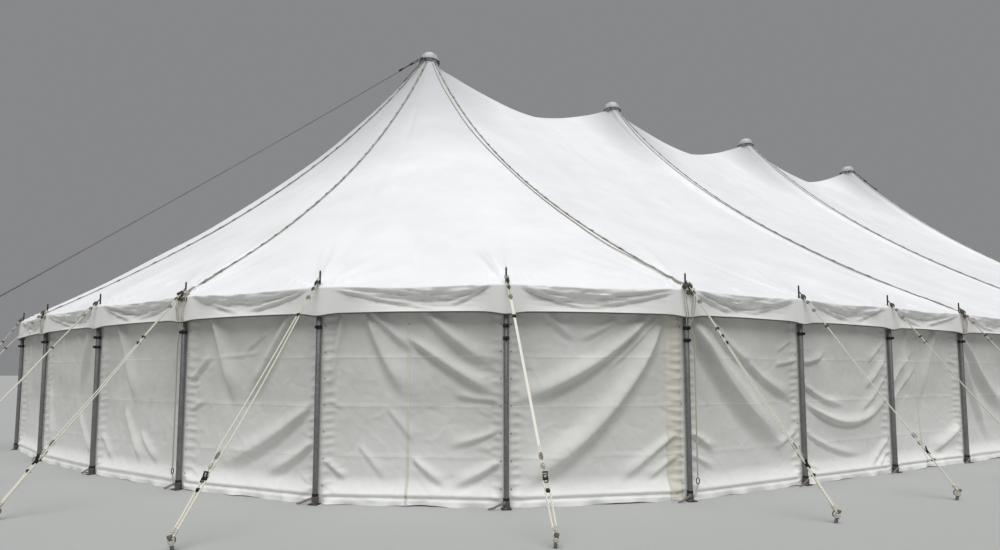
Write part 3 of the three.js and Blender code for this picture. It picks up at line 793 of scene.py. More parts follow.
# Pale rope of three strands laid together: the lay shows as slanting stripes 30 mm apart, and the hollows
# between strands hold grime. Lashings and knots are dirtier than the free stretches. The hem rope is painted
# dark as painted shadow.
rope = new_material("three_strand_rope")
surface = add_node(rope, "ShaderNodeAttribute", attribute_name="lay")
parts = add_node(rope, "ShaderNodeSeparateXYZ", {"Vector": surface.outputs["Vector"]})
pitch = add_node(rope, "ShaderNodeMath", {0: parts.outputs["Y"]}, operation="MULTIPLY", socket_1=1 / 0.03)
strands = add_node(rope, "ShaderNodeMath", {0: parts.outputs["X"]}, operation="MULTIPLY", socket_1=3.0)
slant = add_node(rope, "ShaderNodeMath", {0: pitch.outputs[0], 1: strands.outputs[0]}, operation="ADD")
hollow = add_node(rope, "ShaderNodeMath", {"Value": slant.outputs[0]}, operation="PINGPONG", socket_1=0.5)
tone = add_node(rope, "ShaderNodeValToRGB", {"Fac": hollow.outputs[0]},
                ramp=[(0.0, "#C4BCA8"), (0.4, "#F9F5EA")])
# Darkened by the lay's third share: grime on lashings and knots, painted shadow on the hem rope.
grime_and_shadow = add_node(rope, "ShaderNodeMix", {"Factor": parts.outputs["Z"], "A": tone.outputs["Color"]},
                data_type="RGBA", socket_7=linear("#403C33"))
twist = add_node(rope, "ShaderNodeBump", {"Height": hollow.outputs[0]}, socket_Strength=0.8,
                 socket_Distance=0.004)
finish_material(rope, add_node(
    rope, "ShaderNodeBsdfPrincipled",
    {"Base Color": grime_and_shadow.outputs["Result"], "Normal": twist.outputs["Normal"]},
    socket_Roughness=0.9, socket_Sheen_Weight=0.15))


def with_grime_and_shade(part, darkness):
    """A part of rope darkened by the same share all over: grime, and on the hem rope painted shadow."""
    part[1][:, 2] = darkness
    return part


# The hem rope is painted dark: painted shadow for the gap under the valance's hem.
HEM_ROPE = 0.0085
HEM_SHADOW_DARKNESS = 0.93


def hem_rope(along):
    """A rope sewn along the valance's hem, painted dark as painted shadow for the gap between hem and wall.
    """
    return with_grime_and_shade(loft(valance_points(along, np.ones(1))[0], HEM_ROPE, circle(6)), HEM_SHADOW_DARKNESS)


roof_grids = {}
roof_hems = {}
for king in range(KING_COUNT - 1):
    columns = BAYS_PER_KING * FINE_COLUMNS[f"middle_{king + 1}"] + 1
    front_along = BAYS_PER_KING * king + np.linspace(0, BAYS_PER_KING, columns)
    back_along = SIDE_BAYS + POLE_COUNT / 2 - front_along
    front_grid = np.concatenate([roof_side(front_along), middle_ring_rows(king, columns, True)])
    back_grid = np.concatenate([roof_side(back_along), middle_ring_rows(king, columns, False)])
    roof_grids[f"roof_middle_{king + 1}"] = np.concatenate([front_grid, back_grid[::-1][1:]])
    roof_hems[f"roof_middle_{king + 1}"] = joined([hem_rope(front_along), hem_rope(back_along[::-1])])
for end, start in (("far", SIDE_BAYS), ("near", 2 * SIDE_BAYS + END_BAYS)):
    for gore in range(len(END_SEAMS) - 1):
        first, last = start + END_SEAMS[gore], start + END_SEAMS[gore + 1]
        per_bay = FINE_COLUMNS.get(f"{end}_gore_{gore + 1}", COLUMNS_PER_BAY)
        gore_along = np.linspace(first, last, (last - first) * per_bay + 1)
        roof_grids[f"roof_{end}_gore_{gore + 1}"] = roof_side(gore_along)
        roof_hems[f"roof_{end}_gore_{gore + 1}"] = hem_rope(gore_along)
for name, grid in roof_grids.items():
    canvas = cloth_piece(f"canvas_{name}", grid, roof_canvas, name)
    hem = new_piece(f"hem_rope_{name}", roof_hems[name], rope)
    width = max(line_length(row) for row in grid[::6])
    length = line_length(grid[:, grid.shape[1] // 2])


# Laced seams
# Neighbouring roof pieces overlap by a hand's breadth. Rope loops on the lower piece come up through eyelets
# in the upper one and are chained down the seam over a sewn tape, so each seam shows a raised lap and a dark
# line with knots in it. Beside the seams of the sides a bound edge runs down as a second, thinner line.
SEAM_POLES = (0, 3, 6, 9, 12, 14, 16, 18, 21, 24, 27, 30, 33, 35, 37, 39)
SEAM_ROWS = 150
LAP_ASIDE = (-0.072, -0.052, -0.028, 0.0, 0.028, 0.054, 0.058)
LAP_RISE = (-0.015, 0.003, 0.008, 0.010, 0.011, 0.013, 0.002)
LACING_ASIDE = 0.036
LACING_RADIUS = 0.010
LACING_WANDER = 0.009
LACING_PITCH = 0.42
KNOT_RADIUS = 0.017
KNOT_LENGTH = 0.05
SLOPE_PER_RUN = 1.3
WANDER_PITCH = 0.23
LACING_RISE = 0.019
LACING_GRIME = 0.6
KNOT_GRIME = 0.35
TAPE_HALF = (0.030, 0.017)
TAPE_ASIDE = (-1, -0.96, 0.96, 1)
TAPE_RISE = (0.010, 0.015, 0.015, 0.004)
BOUND_EDGE_SEAMS = (0, 3, 6, 9, 21, 24, 27, 30)
BOUND_EDGE_ASIDE = -0.085
BOUND_EDGE_PLACES = (0, 0.12, 0.3, 0.48, 0.75, 0.86, 0.99)
BOUND_EDGE_APART = (0.3, 1, 1, 0.5, 0.5, 1, 0.25)
BOUND_EDGE_ROWS = 110
BOUND_EDGE_RISE = 0.016
BOUND_EDGE_RADIUS = 0.007
LINE_AND_NEIGHBOURS = np.array([[-0.01, 0, 0.01]])


def beside_seam(pole, share, aside):
    """The place along the eave so many metres aside of a seam. On a straight side a metre is the same all the
    way up; in a round end the gores close in on the crown in step with the distance from it."""
    bay = np.where(aside < 0, pole - 1, pole)
    straight = bay % (POLE_COUNT // 2) < SIDE_BAYS
    king = np.array([math.copysign(LAST_KING, poles[pole][0]), 0])
    length = np.linalg.norm(eave_curve(float(pole)) - king)
    closing = (RING_OPENING + (length - RING_OPENING) * share) / length
    return pole + aside / (bay_lengths[bay % POLE_COUNT] * np.where(straight, 1, closing))


# Seam tape: grey polyester webbing sewn over the eyelets, weathered green and worn paler in soft patches.
seam_tape = blotted_material("weathered_seam_tape", 0.3, [(0.35, "#7F8078"), (0.65, "#B4B5AC")], 5.0,
                             socket_Roughness=0.75)


def strip_on_roof(pole, shares, asides, rises):
    """A strip along a seam: the roof at places so many metres aside, each raised off it by so much."""
    grid, outward = canvas_surface(beside_seam(pole, shares, asides), shares)
    points, lay, faces = sheet_part(grid + outward * np.array(rises)[None, :, None])
    return points, lay, faces[:, ::-1]


def line_on_roof(pole, shares, asides, rise):
    """A line along a seam, raised off the roof. Its neighbours on both sides give the roof's slope there."""
    points, outward = canvas_surface(beside_seam(pole, shares, asides + LINE_AND_NEIGHBOURS), shares)
    return points[:, 1] + outward[:, 1] * rise


laps, lacings, tapes = [], [], []
seam_shares = np.linspace(0.004, 0.999, SEAM_ROWS)[:, None]
edge_shares = np.linspace(0.004, 0.99, BOUND_EDGE_ROWS)[:, None]
for pole in SEAM_POLES:
    laps.append(strip_on_roof(pole, seam_shares, np.array(LAP_ASIDE)[None], LAP_RISE))
    metres = seam_shares * SLOPE_RUN * SLOPE_PER_RUN
    wander = LACING_ASIDE + LACING_WANDER * np.sin(2 * np.pi * metres / WANDER_PITCH + pole)
    path = line_on_roof(pole, seam_shares, wander, LACING_RISE)
    from_knot = (np.mod(metres[:, 0] + 0.1 * pole, LACING_PITCH) - LACING_PITCH / 2) / KNOT_LENGTH
    knotted = np.exp(-from_knot ** 2)
    lacing = loft(path, LACING_RADIUS + (KNOT_RADIUS - LACING_RADIUS) * knotted, circle(6))
    lacing[1][:, 2] = np.repeat(np.concatenate([[0], LACING_GRIME + KNOT_GRIME * knotted, [0]]), 6)
    lacings.append(lacing)
    half = TAPE_HALF[0] + (TAPE_HALF[1] - TAPE_HALF[0]) * seam_shares
    tapes.append(strip_on_roof(pole, seam_shares, LACING_ASIDE + half * np.array([TAPE_ASIDE]), TAPE_RISE))
    if pole in BOUND_EDGE_SEAMS:
        apart = np.interp(edge_shares, BOUND_EDGE_PLACES, BOUND_EDGE_APART)
        path = line_on_roof(pole, edge_shares, BOUND_EDGE_ASIDE * apart, BOUND_EDGE_RISE)
        lacings.append(with_grime_and_shade(loft(path, BOUND_EDGE_RADIUS, circle(6)), LACING_GRIME))
new_piece("seam_laps", joined(laps), roof_canvas, sheet=True)
new_piece("seam_tapes", joined(tapes), seam_tape, sheet=True)
new_piece("seam_lacing", joined(lacings), rope)


# Side poles
# Forty-two galvanised steel tubes stand outside the curtains. Each has a pin that goes up through the eave, a
# bolted collar below it, a base plate on the ground, and webbing under the eave that ties it to the next.
POLE_RADIUS = 0.030
POLE_TOP = 2.427
PLATE_THICKNESS = 0.008
PLATE_WIDTH = 0.11
PLATE_REACH = 0.06
PIN_RADIUS = 0.010
PIN_TOP = 2.64
COLLAR_BOTTOM = 1.960
COLLAR_HEIGHT = 0.044
COLLAR_STEP = 0.14
WEBBING_TOP = 2.398
WEBBING_DEPTH = 0.04
WEBBING_THICKNESS = 0.006
LASHING_TURNS = 4
SETS = [(side, number) for side, count in (("front", 3), ("far_end", 4), ("back", 3), ("near_end", 4))
        for number in range(1, count + 1)]
BAYS_PER_SET = 3
LOW_COLLARS = (41, 0, 38, 12, 19, 27)
STORM_LINES = {39: -1, 0: 1}
STORM_ASIDE = 0.098
STORM_OUT = 0.016


def rectangle(width, height, bevel=0.002):
    """A rectangle with its corners cut off, against the clock."""
    x, y = width / 2, height / 2
    return [(x, -y + bevel), (x, y - bevel), (x - bevel, y), (-x + bevel, y),
            (-x, y - bevel), (-x, -y + bevel), (-x + bevel, -y), (x - bevel, -y)]


def coil(radius, thickness, turns, start, rise, sides=5, steps=10):
    """Rope wound round the upright axis: a helix of so many turns from a height, as a loft."""
    angle = np.linspace(0, 2 * np.pi * turns, int(turns * steps) + 1)
    path = np.stack([radius * np.cos(angle), radius * np.sin(angle),
                     start + rise * angle / angle[-1]], axis=-1)
    return loft(path, thickness, circle(sides))


tube = revolve([
    (0, PLATE_THICKNESS), (POLE_RADIUS, PLATE_THICKNESS), (POLE_RADIUS, POLE_TOP - 0.008),
    (POLE_RADIUS - 0.006, POLE_TOP), (0, POLE_TOP),
], 24)
plate = loft([(0, -PLATE_WIDTH / 2, PLATE_THICKNESS / 2), (0, PLATE_WIDTH / 2, PLATE_THICKNESS / 2)], 1,
             rectangle(2 * PLATE_REACH, PLATE_THICKNESS))
weld_bead = revolve([
    (POLE_RADIUS - 0.002, 0.006), (POLE_RADIUS + 0.006, 0.008), (POLE_RADIUS - 0.002, 0.018),
], 16)


def clamp_band(bottom):
    """A bolted collar: a band round the tube, with two ears that a bolt draws together."""
    top, middle = bottom + COLLAR_HEIGHT, bottom + COLLAR_HEIGHT / 2
    band = revolve([
        (POLE_RADIUS - 0.002, bottom), (POLE_RADIUS + 0.005, bottom + 0.002),
        (POLE_RADIUS + 0.007, bottom + 0.006), (POLE_RADIUS + 0.007, top - 0.006),
        (POLE_RADIUS + 0.005, top - 0.002), (POLE_RADIUS - 0.002, top),
    ], 20)
    ears = [loft([(POLE_RADIUS, side, middle), (POLE_RADIUS + 0.03, side, middle)], 1,
                 rectangle(0.006, 0.036)) for side in (-0.009, 0.009)]
    bolt = loft([(POLE_RADIUS + 0.02, y, middle) for y in (-0.022, -0.014, -0.0139, 0.0139, 0.014, 0.022)],
                (0.009, 0.009, 0.005, 0.005, 0.009, 0.009), circle(6))
    return joined([band, *ears, bolt])


pin = revolve([
    (0, POLE_TOP - 0.004), (0.018, POLE_TOP - 0.004), (0.018, POLE_TOP + 0.008),
    (PIN_RADIUS, POLE_TOP + 0.012), (PIN_RADIUS, PIN_TOP - 0.02), (PIN_RADIUS * 0.6, PIN_TOP - 0.006),
    (0, PIN_TOP),
], 12)
lashing = with_grime_and_shade(coil(POLE_RADIUS + 0.006, 0.0065, LASHING_TURNS, 0.025, 0.06), 0.9)
bracket = revolve([(POLE_RADIUS - 0.001, 0.088), (POLE_RADIUS + 0.006, 0.09), (POLE_RADIUS + 0.006, 0.118),
                   (POLE_RADIUS - 0.001, 0.12)], 16)
strap_path = [(0.036, -0.01, 0.075), (0.046, -0.07, 0.055), (0.05, -0.14, 0.022), (0.05, -0.2, 0.006)]
strap = with_grime_and_shade(loft(strap_path, 1, rectangle(0.004, 0.026, 0.001)), 0.75)


def storm_line(side):
    """A rope from the collar down beside the pole to its foot, with a steel hook in it near the ground."""
    aside = side * STORM_ASIDE
    spans = [[(0.03, side * 0.04, COLLAR_BOTTOM + 0.02), (STORM_OUT, aside, COLLAR_BOTTOM - 0.12),
              (STORM_OUT, aside, 1.1), (STORM_OUT, aside, 0.26)],
             [(STORM_OUT, aside, 0.19), (0.014, side * 0.08, 0.12), (0.03, side * 0.045, 0.05)]]
    ropes = [loft(span, 0.009, circle(6), up=(1, 0, 0)) for span in spans]
    hook = hoop(0.022, 0.006, 16, 6, 1.6, math.pi / 2, 0, (STORM_OUT, aside, 0.225))
    return with_grime_and_shade(joined(ropes), 0.35), hook


# Where a seam comes down to a pole its lacing is tied off: strands over the valance to the collar, given by
# their places aside at the top and the bottom, and knots, given by place aside, height, tilt and grime.
TIED_STRANDS = ((-0.075, -0.02), (-0.04, 0.012), (0.05, 0.0), (0.085, 0.028))
TIED_KNOTS = ((-0.045, 2.45, 0.8, 0.95), (0.05, 2.47, -0.5, 0.35), (0.0, 2.4, 1.4, 0.9),
              (0.06, 2.38, 0.4, 0.85))
tied_off = joined([
    with_grime_and_shade(loft([(0.0, 0.0, 2.5), (0.05, top, 2.45), (0.075, top, 2.3), (0.07, (top + low) / 2, 2.14),
                     (0.04, low, 2.02)], 0.006, circle(6)), 0.3)
    for top, low in TIED_STRANDS
] + [
    with_grime_and_shade(moved(coil(0.022, 0.009, 3, 0, 0.05), tilt=tilt, centre=(0.03, aside, height)), darkness)
    for aside, height, tilt, darkness in TIED_KNOTS
])

# Woven polyester webbing: a flat cream band. Its cross ribs, 3 mm apart in truth and drawn at 12 mm, catch
# the light.
webbing = new_material("woven_webbing")
surface = add_node(webbing, "ShaderNodeAttribute", attribute_name="lay")
ribs = add_node(webbing, "ShaderNodeTexWave", {"Vector": surface.outputs["Vector"]}, bands_direction="Y",
                socket_Scale=1 / 0.012 / 6.283, socket_Distortion=0.4)
tone = add_node(webbing, "ShaderNodeValToRGB", {"Fac": ribs.outputs["Fac"]},
                ramp=[(0.0, "#E4E0D5"), (1.0, "#F0ECE2")])
raised = add_node(webbing, "ShaderNodeBump", {"Height": ribs.outputs["Fac"]}, socket_Strength=0.2,
                  socket_Distance=0.002)
finish_material(webbing, add_node(
    webbing, "ShaderNodeBsdfPrincipled",
    {"Base Color": tone.outputs["Color"], "Normal": raised.outputs["Normal"]},
    socket_Roughness=0.8, socket_Sheen_Weight=0.2))


def set_poles(number):
    """The poles of a set, and the places and headings that its parts are copied to."""
    numbers = [BAYS_PER_SET * number + k for k in range(BAYS_PER_SET)]
    places = np.concatenate([poles[numbers], np.zeros((BAYS_PER_SET, 1))], axis=1)
    return numbers, places, pole_headings[numbers]


for number, (side, count) in enumerate(SETS):
    set_name = f"{side}_{count}"
    numbers, places, headings = set_poles(number)
    tubes = [copies(joined([tube, weld_bead]), places, headings)]
    fittings = [copies(joined([pin, bracket, plate, clamp_band(COLLAR_BOTTOM)]), places, headings)]
    ties = [copies(joined([lashing, strap]), places, headings)]
    for k, pole in enumerate(numbers):
        here, heading = places[k:k + 1], headings[k:k + 1]
        if pole in LOW_COLLARS:
            fittings.append(copies(clamp_band(COLLAR_BOTTOM - COLLAR_STEP), here, heading))
        if pole in SEAM_POLES:
            ties.append(copies(tied_off, here, heading))
        if pole in STORM_LINES:
            line, hook = storm_line(STORM_LINES[pole])
            ties.append(copies(line, here, heading))
            fittings.append(copies(hook, here, heading))
    steel = new_piece(f"pole_tubes_{set_name}", joined(tubes), galvanised)
    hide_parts(f"side_poles_{set_name}")
    new_piece(f"pole_fittings_{set_name}", joined(fittings), forged)
    new_piece(f"pole_lashings_{set_name}", joined(ties), rope)
    band_along = BAYS_PER_SET * number + np.linspace(0, BAYS_PER_SET, 3 * 8 + 1)
    band_path = np.concatenate([eave_line(band_along, np.zeros(len(band_along))),
                                np.full((len(band_along), 1), WEBBING_TOP - WEBBING_DEPTH / 2)], axis=1)
    new_piece(f"eave_webbing_{set_name}", loft(band_path, 1, rectangle(WEBBING_THICKNESS, WEBBING_DEPTH)),
              webbing)


# Side guys and stakes
# From each pin a guy of two ropes runs out to a steel stake driven almost flush: knots and chain links over
# the valance, a clamp below it, two thin ropes side by side, then a ratchet above the last, doubled stretch.
# One guy has a flat band in place of its thin ropes.
GUY_TOP = 2.56
GUY_FOOT = 0.10
GUY_OUT = 1.45
FRONT_SLANT = 0.74
NEAR_END_STAKE = (1.76, -0.23)
ODD_STAKES = {37: NEAR_END_STAKE, 38: NEAR_END_STAKE, 39: NEAR_END_STAKE, 40: NEAR_END_STAKE,
              41: (1.38, 0.35), 0: (1.26, 0.76), 1: (1.37, 0.74)}
GUY_ROPE = 0.0068
GUY_GAP = 0.042
GUY_TAIL_ROPE = 0.0095
STAKE_RADIUS = 0.016
STAKE_HEIGHT = 0.13
STAKE_LEAN = 0.24
CLAMPS_ALONG = (0.56,)
ODD_CLAMPS = {0: (0.68, 0.78, 0.87), 2: (0.66, 0.76), 3: (0.56, 0.65), 7: (0.56, 0.65), 12: (0.56, 0.65),
              17: (0.6, 0.7), 20: (0.56, 0.66), 25: (0.5, 0.6), 31: (0.56, 0.65), 37: (0.84,), 38: (0.9,),
              39: (0.8, 0.89)}
LASH_SHARE = 0.74
RATCHET_SHARE = 0.81
BAND_POLE = 41
BAND_START = 0.36
BAND_GAP = 0.008
KNOT_TURNS = 3.5
KNOT_STEPS = 22


def rope_pair(first, last, gap_first, gap_last, sag=0.010, steps=12, radius=GUY_ROPE):
    """Two ropes side by side along x between two places on the guy. Their gap from the middle changes by a
    power of the way, and they sag by a sine."""
    t = np.linspace(0, 1, steps)
    gap = gap_first + (gap_last - gap_first) * t ** 0.7
    return joined([
        loft(np.stack([first + (last - first) * t, side * gap, -sag * np.sin(np.pi * t)], axis=-1),
             radius, circle(6))
        for side in (-1, 1)
    ])


def knot(along, size, stretch=3.2, darkness=0.3):
    """A lashed knot: rope wound round the guy, widest at its middle."""
    angle = np.linspace(0, 2 * np.pi * KNOT_TURNS, KNOT_STEPS)
    swell = size * (0.75 + 0.45 * np.sin(np.linspace(0, np.pi, KNOT_STEPS)))
    path = np.stack([along + size * stretch * angle / angle[-1],
                     swell * np.cos(angle), swell * np.sin(angle)], axis=-1)
    return with_grime_and_shade(loft(path, GUY_ROPE * 1.1, circle(5), up=(1, 0, 0)), darkness)


def link(along, turn, size=0.021):
    """One oval link of a chain, standing along x and turned about it."""
    angle = np.arange(16) * 2 * np.pi / 16
    path = np.stack([along + size * 1.7 * np.cos(angle), size * np.sin(angle) * math.cos(turn),
                     size * np.sin(angle) * math.sin(turn)], axis=-1)
    up = (0, -math.sin(turn), math.cos(turn))
    return loft(path, 0.0062, circle(6), up=up, closed=True)


def ratchet(along):
    """A small ratchet tensioner: two cheeks, a drum between them, a lever with a grip and two end bolts."""
    cheeks = [loft([(along, y, 0.003), (along + 0.08, y, 0.003)], 1, rectangle(0.003, 0.028))
              for y in (-0.018, 0.018)]
    drum = loft([(along + 0.042, -0.024, 0.004), (along + 0.042, 0.024, 0.004)], 0.013, circle(10))
    lever = [loft([(along + 0.042, y, 0.006), (along - 0.012, y, 0.022)], 1, rectangle(0.003, 0.014))
             for y in (-0.021, 0.021)]
    grip = loft([(along - 0.012, -0.024, 0.022), (along - 0.012, 0.024, 0.022)], 0.008, circle(8))
    bolts = [loft([(along + x, -0.021, 0), (along + x, 0.021, 0)], 0.005, circle(6)) for x in (0.006, 0.074)]
    return joined([*cheeks, drum, *lever, grip, *bolts])


def clamp_block(along):
    """A cast clamp round both ropes, with a bolt through it."""
    block = loft([(along + x, 0, 0) for x in (0, 0.006, 0.03, 0.036)], (0.75, 1, 1, 0.75),
                 rectangle(0.044, 0.026, 0.008))
    bolt = loft([(along + 0.018, 0, -0.024), (along + 0.018, 0, 0.024)], 0.007, circle(6), up=(1, 0, 0))
    return joined([block, bolt])


def stake_parts():
    """A stake with a mushroomed head, leaning outwards by a shear, its ring and the rope hitched round it."""
    profile = [(0, 0), (STAKE_RADIUS, 0), (STAKE_RADIUS, STAKE_HEIGHT - 0.036), (0.022, STAKE_HEIGHT - 0.028),
               (0.026, STAKE_HEIGHT - 0.014), (0.021, STAKE_HEIGHT - 0.002), (0, STAKE_HEIGHT)]
    pin_part = revolve(profile, 14)
    hitch_part = with_grime_and_shade(coil(STAKE_RADIUS + 0.006, 0.007, 3, GUY_FOOT - 0.05, 0.04), 0.2)
    for part in (pin_part, hitch_part):
        part[0][:, 0] += STAKE_LEAN * (part[0][:, 2] - GUY_FOOT)
    ring_part = hoop(0.026, 0.006, 16, 6, 1.3, 0, 0.5, (-0.02, 0, GUY_FOOT - 0.012))
    return joined([pin_part, ring_part]), hitch_part


stake, hitch = stake_parts()
for number, (side, count) in enumerate(SETS):
    set_name = f"{side}_{count}"
    numbers, places, headings = set_poles(number)
    dark, steel_parts, ropes = [], [], []
    for k, pole in enumerate(numbers):
        outward, aside = ODD_STAKES.get(pole, (GUY_OUT, FRONT_SLANT if pole <= SIDE_BAYS else 0.0))
        spread = math.hypot(outward, aside)
        length = math.hypot(spread, GUY_TOP - GUY_FOOT)
        tilt = math.atan2(GUY_TOP - GUY_FOOT, spread)
        heading = [headings[k] + math.atan2(aside, outward)]
        here = places[k:k + 1]
        lash, gear = LASH_SHARE * length, RATCHET_SHARE * length
        clamps_along = ODD_CLAMPS.get(pole, CLAMPS_ALONG)
        clamps = [clamp_block(clamp_along) for clamp_along in clamps_along]
        metal = joined([link(0.05, 0), link(0.1, math.pi / 2), *clamps, ratchet(gear),
                        clamp_block(gear + 0.13)])
        gap = BAND_GAP if pole == BAND_POLE else GUY_GAP
        upper_end = 0.97 * lash
        lines = [
            with_grime_and_shade(rope_pair(0.02, clamps_along[0], 0.012, 0.015, 0.002, 5), 0.15),
            rope_pair(gear + 0.06, length, 0.024, 0.016, 0.004, 6, GUY_TAIL_ROPE),
            rope_pair(0.96 * lash, gear + 0.02, gap, 0.016, 0.0, 4),
            knot(0.07, 0.016, 3.2, 0.95), knot(0.17, 0.013, 3.2, 0.9), knot(0.3, 0.016, 2.6, 0.6),
            knot(lash, 0.014, 4.5, 0.7), knot(gear - 0.1, 0.017, 3, 0.3), knot(length - 0.09, 0.019, 3, 0.15),
        ]
        if pole == BAND_POLE:
            band = loft([(x, 0, 0) for x in np.linspace(BAND_START, upper_end, 12)], 1,
                        rectangle(0.028, 0.004, 0.001))
            band = copies(moved(band, tilt=tilt, centre=(0, 0, GUY_TOP)), here, heading)
            new_piece("guy_band", band, webbing)
        else:
            lines.append(rope_pair(clamps_along[0], upper_end, 0.015, GUY_GAP))
        dark.append(copies(moved(metal, tilt=tilt, centre=(0, 0, GUY_TOP)), here, heading))
        ropes.append(copies(moved(joined(lines), tilt=tilt, centre=(0, 0, GUY_TOP)), here, heading))
        ropes.append(copies(moved(hitch, centre=(spread, 0, 0)), here, heading))
        steel_parts.append(copies(moved(stake, centre=(spread, 0, 0)), here, heading))
    new_piece(f"guy_fittings_{set_name}", joined(dark), forged)
    new_piece(f"stakes_{set_name}", joined(steel_parts), galvanised)
    new_piece(f"guy_ropes_{set_name}", joined(ropes), rope)


# Wall curtains
# Heavier canvas curtains hang from the webbing under the eave behind the poles, one for every three bays, and
# reach the ground with a paler mud flap. They were packed folded, are laced at their edges, and hang in slack
# folds pulled sideways between the poles.
WALL_TOP = 2.4
WALL_OUT = -0.0345
FURTHEST_OUT = 0.085
FINE_SETS = {"near_end_4": (301, 128), "front_1": (301, 128), "near_end_3": (220, 96), "front_2": (220, 96)}
COARSE_GRID = (91, 46)
FOLD_DEPTH = 2.05
WALL_SLACK = -0.04
HEM_ROWS_SHARE = 0.16
HEM_ZONE = 0.28
MUD_FLAP = 0.1
HEM_LIFT = 0.014
FLARE_OUT = 0.07
FLARE_TOP = 0.3
FLARE_REACH = 0.18
GROOVE_DEPTH = 0.024
GROOVE_BREADTH = 0.016
TIED_BESIDE = 0.03
TIED_EASE = 0.11
PUCKER_PITCH = 0.105
PUCKER_RISE = 0.019
PUCKER_ASIDE = 0.1
PUCKER_BREADTH = 0.06
PACKING_CREASES = (0.53, 1.09, 1.65)
PACKING_RISE = 0.006
PACKING_BREADTH = 0.014
SMALL_PULLS = 9

